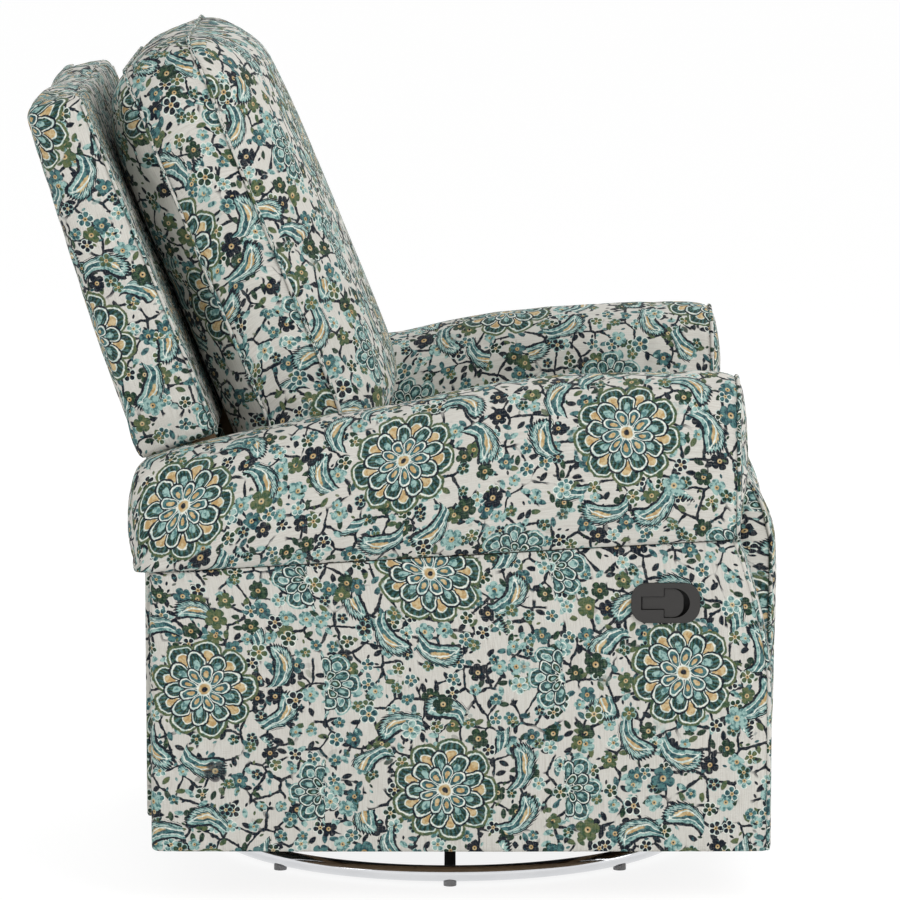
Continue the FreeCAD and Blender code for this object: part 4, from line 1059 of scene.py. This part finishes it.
def footrest_pad():
    low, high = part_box("footrest_pad")
    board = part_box("footrest_board")[0].y
    seam = [(0.0, -0.448), (0.13, -0.4525), (0.30, -0.4555), (0.35, -0.455), (0.392, -0.4455),
            (0.417, -0.431), (0.43, -0.416)]

    def profile(s):
        """The front seam rises from the hem and rolls back at the top."""
        return Vector((0, table(seam, s), low.z + 2 * MM + s)), -Y

    def depth(s):
        return board - MM - profile(s)[0].y

    def front(across, up):
        low_edge = 1 - max(0.0, -up) ** 12
        return FOOTREST_CROWN * falloff(across, 4, 0.6) * low_edge * falloff(max(up, 0), 4, 0.6)

    piece, seams = boxed("footrest_cushion", high.x - 3 * MM, high.z - low.z - 5 * MM, (0.03, 0.006),
                         profile, depth, front, lambda across, up: -0.5 * MM, start=(0.155, 0.12))
    sewn = near_seams(seams)
    billowed(piece, lambda p: sewn(p) or p.y > board - 5 * MM, pressure=2.0, cap=5 * MM)
    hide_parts("footrest_pad")
    finished(piece, "footrest")
    welts("footrest_welt", seams[:1], CUSHION_WELT, "footrest")


# Outside back

SHELL_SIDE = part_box("back_shell")[1].x
LEAN = math.radians(21.7)
SHELL_FOOT = Vector((0, 0.222, 0.5615))
SHELL_UP = Vector((0, math.sin(LEAN), math.cos(LEAN)))
SHELL_REAR = Vector((0, math.cos(LEAN), -math.sin(LEAN)))
SHELL_LENGTH = 0.447
SHELL_DEPTH_LOW = 0.104
SHELL_DEPTH_HIGH = 0.070


def back_shell():
    half = SHELL_SIDE - 1.5 * MM
    corner = 10 * MM

    def loop(s, shrink):
        """A level outline of the shell: front, side, back and side, with rounded corners."""
        share = s / SHELL_LENGTH
        deep = between(SHELL_DEPTH_LOW, SHELL_DEPTH_HIGH, share) - 3 * MM
        out = half - shrink
        near, far = shrink * 0.6 + corner, deep - corner
        side = [(2.5 * MM * math.sin(math.pi * step / 7), step / 7) for step in range(1, 7)]
        line = []
        for step in range(0, 41):
            across = -1 + 2 * step / 40
            sunk = -1.5 * MM * falloff(across, 6, 1)
            line.append((across * (out - corner), shrink * 0.6 - sunk))
        line += [(out - 3 * MM, shrink * 0.6 + 3 * MM), (out, shrink * 0.6 + corner)]
        line += [(out + full, between(near, far, along)) for full, along in side]
        line += [(out, deep - shrink - corner), (out - 3 * MM, deep - shrink - 3 * MM)]
        for step in range(0, 41):
            across = 1 - 2 * step / 40
            full = 7 * MM * falloff(across, 4, 0.8) * math.sin(math.pi * min(1, 0.08 + share * 0.9))
            line.append((across * (out - corner), deep - shrink + full * (1 if shrink < 5 * MM else 0.4)))
        line += [(3 * MM - out, deep - shrink - 3 * MM), (-out, deep - shrink - corner)]
        line += [(-out - full, between(far, near, along)) for full, along in side]
        line += [(-out, shrink * 0.6 + corner), (3 * MM - out, shrink * 0.6 + 3 * MM)]
        slant = between(4 * MM, 12 * MM, share) / deep
        return [SHELL_FOOT + X * x + SHELL_REAR * t + SHELL_UP * (s + slant * t) for x, t in line]

    sewing = Sewing()
    rows = [loop(MM + (SHELL_LENGTH - 17 * MM) * step / 39, 0) for step in range(40)]
    for rise, shrink in ((8, 1.5), (13, 4.5), (16, 9), (18, 15)):
        rows.append(loop(SHELL_LENGTH + (rise - 16) * MM, shrink * MM))
    numbers = sewing.tube(rows, (0.155, 0.24))
    sewing.cap(numbers[0], -SHELL_UP, 0, rings=6)
    sewing.cap(numbers[-1], SHELL_UP, 6 * MM, (0.4, 0.1), rings=6)
    piece = sewing.make("outside_back")
    front = 6 * MM

    def held(point):
        from_foot = point - SHELL_FOOT
        t, s = from_foot.dot(SHELL_REAR), from_foot.dot(SHELL_UP)
        edge = abs(point.x) > half - corner - MM
        return s < 6 * MM or t < front or (edge and (t < corner + MM or t > SHELL_DEPTH_HIGH))

    billowed(piece, held, pressure=1.6, cap=5 * MM)
    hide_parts("back_shell")
    finished(piece, "back")
    for side, sign in SIDES.items():
        edge = SHELL_FOOT + X * sign * (half - 2.5 * MM) + SHELL_REAR * 2 * MM
        path = [edge + SHELL_UP * between(3 * MM, SHELL_LENGTH - 12 * MM, step / 60) for step in range(61)]
        seam_tube("outside_back_welt_%s" % side, path, SHELL_WELT, "back")


def lower_back():
    low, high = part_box("lower_back_panel")
    half = high.x - MM
    rows = []
    for step in range(0, 31):
        share = step / 30
        rear = high.y - 3.5 * MM
        front = low.y + 1.5 * MM
        row = []
        for across, y, bow in outline_of(half, front, rear):
            full = 3 * MM * math.sin(math.pi * share) * bow
            top = high.z - 3 * MM - (y - low.y) * math.tan(LEAN - math.radians(2.2))
            row.append(Vector((across, y + full, between(low.z + MM, top, share))))
        rows.append(row)
    sewing = Sewing()
    numbers = sewing.tube(rows, (0.155, 0.31))
    sewing.cap(numbers[0], -Z, 0, rings=3)
    sewing.cap(numbers[-1], Z, 0, rings=3)
    piece = sewing.make("lower_back_cover")
    finer(piece)
    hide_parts("lower_back_panel")
    finished(piece, "back")


def outline_of(half, front, rear):
    """A flat rectangle with eased corners, as (x, y, how much it is the rear face)."""
    ease = 4 * MM
    line = [(between(-half + ease, half - ease, step / 30), front, 0) for step in range(31)]
    side = [(half - MM, front + MM, 0), (half, front + ease, 0), (half, rear - ease, 0),
            (half - MM, rear - MM, 0)]
    line += side
    line += [(between(half - ease, ease - half, step / 30), rear, falloff(1 - step / 15, 4, 0.8))
             for step in range(31)]
    line += [(-x, y, bow) for x, y, bow in side[::-1]]
    return line


# Handle

def handle_hole():
    """The opening of the handle's face: a slot for the stem and a D for the flap with a finger gap."""
    slot_rear, flap_rear, bow = -290.5 * MM, -317.8 * MM, -329.2 * MM
    slot_tall, flap_tall, reach = 8.1 * MM, 18.1 * MM, 20 * MM
    half = [(slot_rear, slot_tall * step / 4) for step in range(5)]
    half += [(between(slot_rear, flap_rear, step / 8), slot_tall) for step in range(1, 9)]
    half += [(flap_rear, between(slot_tall, flap_tall, step / 4)) for step in range(1, 5)]
    half += [(between(flap_rear, bow, step / 4), flap_tall) for step in range(1, 4)]
    half += [(bow - reach * math.sin(turn), flap_tall * math.cos(turn))
             for turn in (math.pi / 2 * step / 16 for step in range(17))]
    return half + [(y, -z) for y, z in half[-2:0:-1]]


def handle_face():
    """The flat plate that lies over the handle's rim and surrounds the pull flap."""
    corner = 18.6 * MM
    half_y = (CUP_HIGH.y - CUP_LOW.y) / 2 - 0.4 * MM - corner
    half_z = (CUP_HIGH.z - CUP_LOW.z) / 2 - 0.4 * MM - corner
    heart_y = -322 * MM - CUP_MIDDLE.y

    def on_plate(y, z):
        return math.hypot(max(abs(y) - half_y, 0), max(abs(z) - half_z, 0)) <= corner

    pairs = []
    for hole_y, hole_z in handle_hole():
        y, z = hole_y - CUP_MIDDLE.y, hole_z
        turn = math.atan2(z, y - heart_y)
        near, far = 0.0, 90 * MM
        for _ in range(30):
            middle = (near + far) / 2
            if on_plate(heart_y + middle * math.cos(turn), middle * math.sin(turn)):
                near = middle
            else:
                far = middle
        pairs.append((Vector((0, heart_y + near * math.cos(turn), near * math.sin(turn))), Vector((0, y, z))))

    ease = 0.5 * MM
    under, top = CUP_LOW.x + 0.4 * MM, CUP_LOW.x - 1.1 * MM
    rows = []
    section = [(0, 0, under), (0, 0, top + ease), (0, ease * 0.3, top + ease * 0.3), (0, ease, top),
               (0.5, 0, top), (1, -ease, top), (1, -ease * 0.3, top + ease * 0.3), (1, 0, top + ease),
               (1, 0, under), (0, 0, under)]
    for share, inwards, x in section:
        row = []
        for outer, inner in pairs:
            point = outer.lerp(inner, share) + (inner - outer).normalized() * inwards
            row.append(Vector((x, point.y + CUP_MIDDLE.y, point.z + CUP_MIDDLE.z)))
        rows.append(row)
    sewing = Sewing()
    sewing.tube(rows)
    piece = finished(sewing.make("handle_face"), "seat_box", "handle_plastic")
    for polygon in piece.data.polygons:
        polygon.use_smooth = False


# Light, floor and camera

def stage():
    floor = bpy.data.objects.new("floor", bpy.data.meshes.new("floor"))
    half = 45
    corners = [(-half, -half, 0), (half, -half, 0), (half, half, 0), (-half, half, 0)]
    floor.data.from_pydata(corners, [], [(0, 1, 2, 3)])
    bpy.context.scene.collection.objects.link(floor)
    finish = Finish("pale_floor", 0.9, 0.0, {"Specular IOR Level": 0.1})
    finish.paint(finish.mix(finish.noise(finish.place(), 3.0), linear(240, 240, 240), linear(244, 244, 243)))
    seen = finish.node("ShaderNodeLightPath", out="Is Camera Ray")
    mirrored = finish.node("ShaderNodeLightPath", out="Is Glossy Ray")
    glow = finish.node("ShaderNodeEmission", {}, {"Color": (1, 1, 1, 1), "Strength": 1.1})
    lit = Socket(finish, finish.shader.outputs[0])
    mixed = finish.node("ShaderNodeMixShader", {}, {0: seen.most(mirrored) * 0.8, 1: lit, 2: glow})
    finish.put(finish.tree.nodes["Material Output"].inputs["Surface"], mixed)
    floor.data.materials.append(finish.material)


def world():
    made = bpy.data.worlds.new("studio")
    made.use_nodes = True
    bpy.context.scene.world = made
    nodes, links = made.node_tree.nodes, made.node_tree.links
    path = nodes.new("ShaderNodeLightPath")
    seen = nodes.new("ShaderNodeMath")
    seen.operation = "MAXIMUM"
    links.new(path.outputs["Is Camera Ray"], seen.inputs[0])
    glass = nodes.new("ShaderNodeMath")
    glass.operation = "MAXIMUM"
    links.new(path.outputs["Is Glossy Ray"], glass.inputs[0])
    links.new(path.outputs["Is Transmission Ray"], glass.inputs[1])
    links.new(glass.outputs[0], seen.inputs[1])
    strength = nodes.new("ShaderNodeMapRange")
    links.new(seen.outputs[0], strength.inputs["Value"])
    strength.inputs["To Min"].default_value = 0.62
    strength.inputs["To Max"].default_value = 1.0
    links.new(strength.outputs[0], nodes["Background"].inputs["Strength"])
    nodes["Background"].inputs["Color"].default_value = (1, 1, 1, 1)


def lamp(name, place, aim, size, power):
    """A soft round lamp at a place in metres, with its power in watts."""
    light = bpy.data.lights.new(name, "AREA")
    light.shape = "DISK"
    light.size = size
    light.energy = power
    holder = bpy.data.objects.new(name, light)
    holder.location = place
    holder.rotation_mode = "QUATERNION"
    holder.rotation_quaternion = (Vector(aim) - Vector(place)).to_track_quat("-Z", "Y")
    bpy.context.scene.collection.objects.link(holder)


def camera():
    """The photograph's view, from the sitter's right and a little above."""
    lens = bpy.data.cameras.new("camera")
    lens.sensor_width = 36
    lens.lens = 216.8
    lens.clip_end = 100
    holder = bpy.data.objects.new("camera", lens)
    place = Vector((-6.841, -0.060, 1.525))
    aim = Vector((0, -0.060, 0.4985))
    holder.location = place
    holder.rotation_mode = "QUATERNION"
    holder.rotation_quaternion = (aim - place).to_track_quat("-Z", "Y")
    bpy.context.scene.collection.objects.link(holder)
    bpy.context.scene.camera = holder


def lighting():
    bpy.context.scene.view_settings.view_transform = "Standard"
    world()
    lamp("key", (-3.4, -2.6, 3.2), (0, 0, 0.5), 2.4, 92)
    lamp("fill", (-3.0, 3.4, 2.2), (0, 0, 0.5), 2.6, 45)
    lamp("back", (3.4, -0.6, 3.0), (0, 0, 0.6), 2.4, 60)
    lamp("front", (-0.6, -4.4, 2.0), (0, 0, 0.6), 2.4, 42)


camera()
for side, sign in SIDES.items():
    arm_side(side, sign)
    arm_pad(side, sign)
seat_cushion()
footrest_pad()
back_cushion()
back_shell()
lower_back()
handle_face()
stage()
lighting()
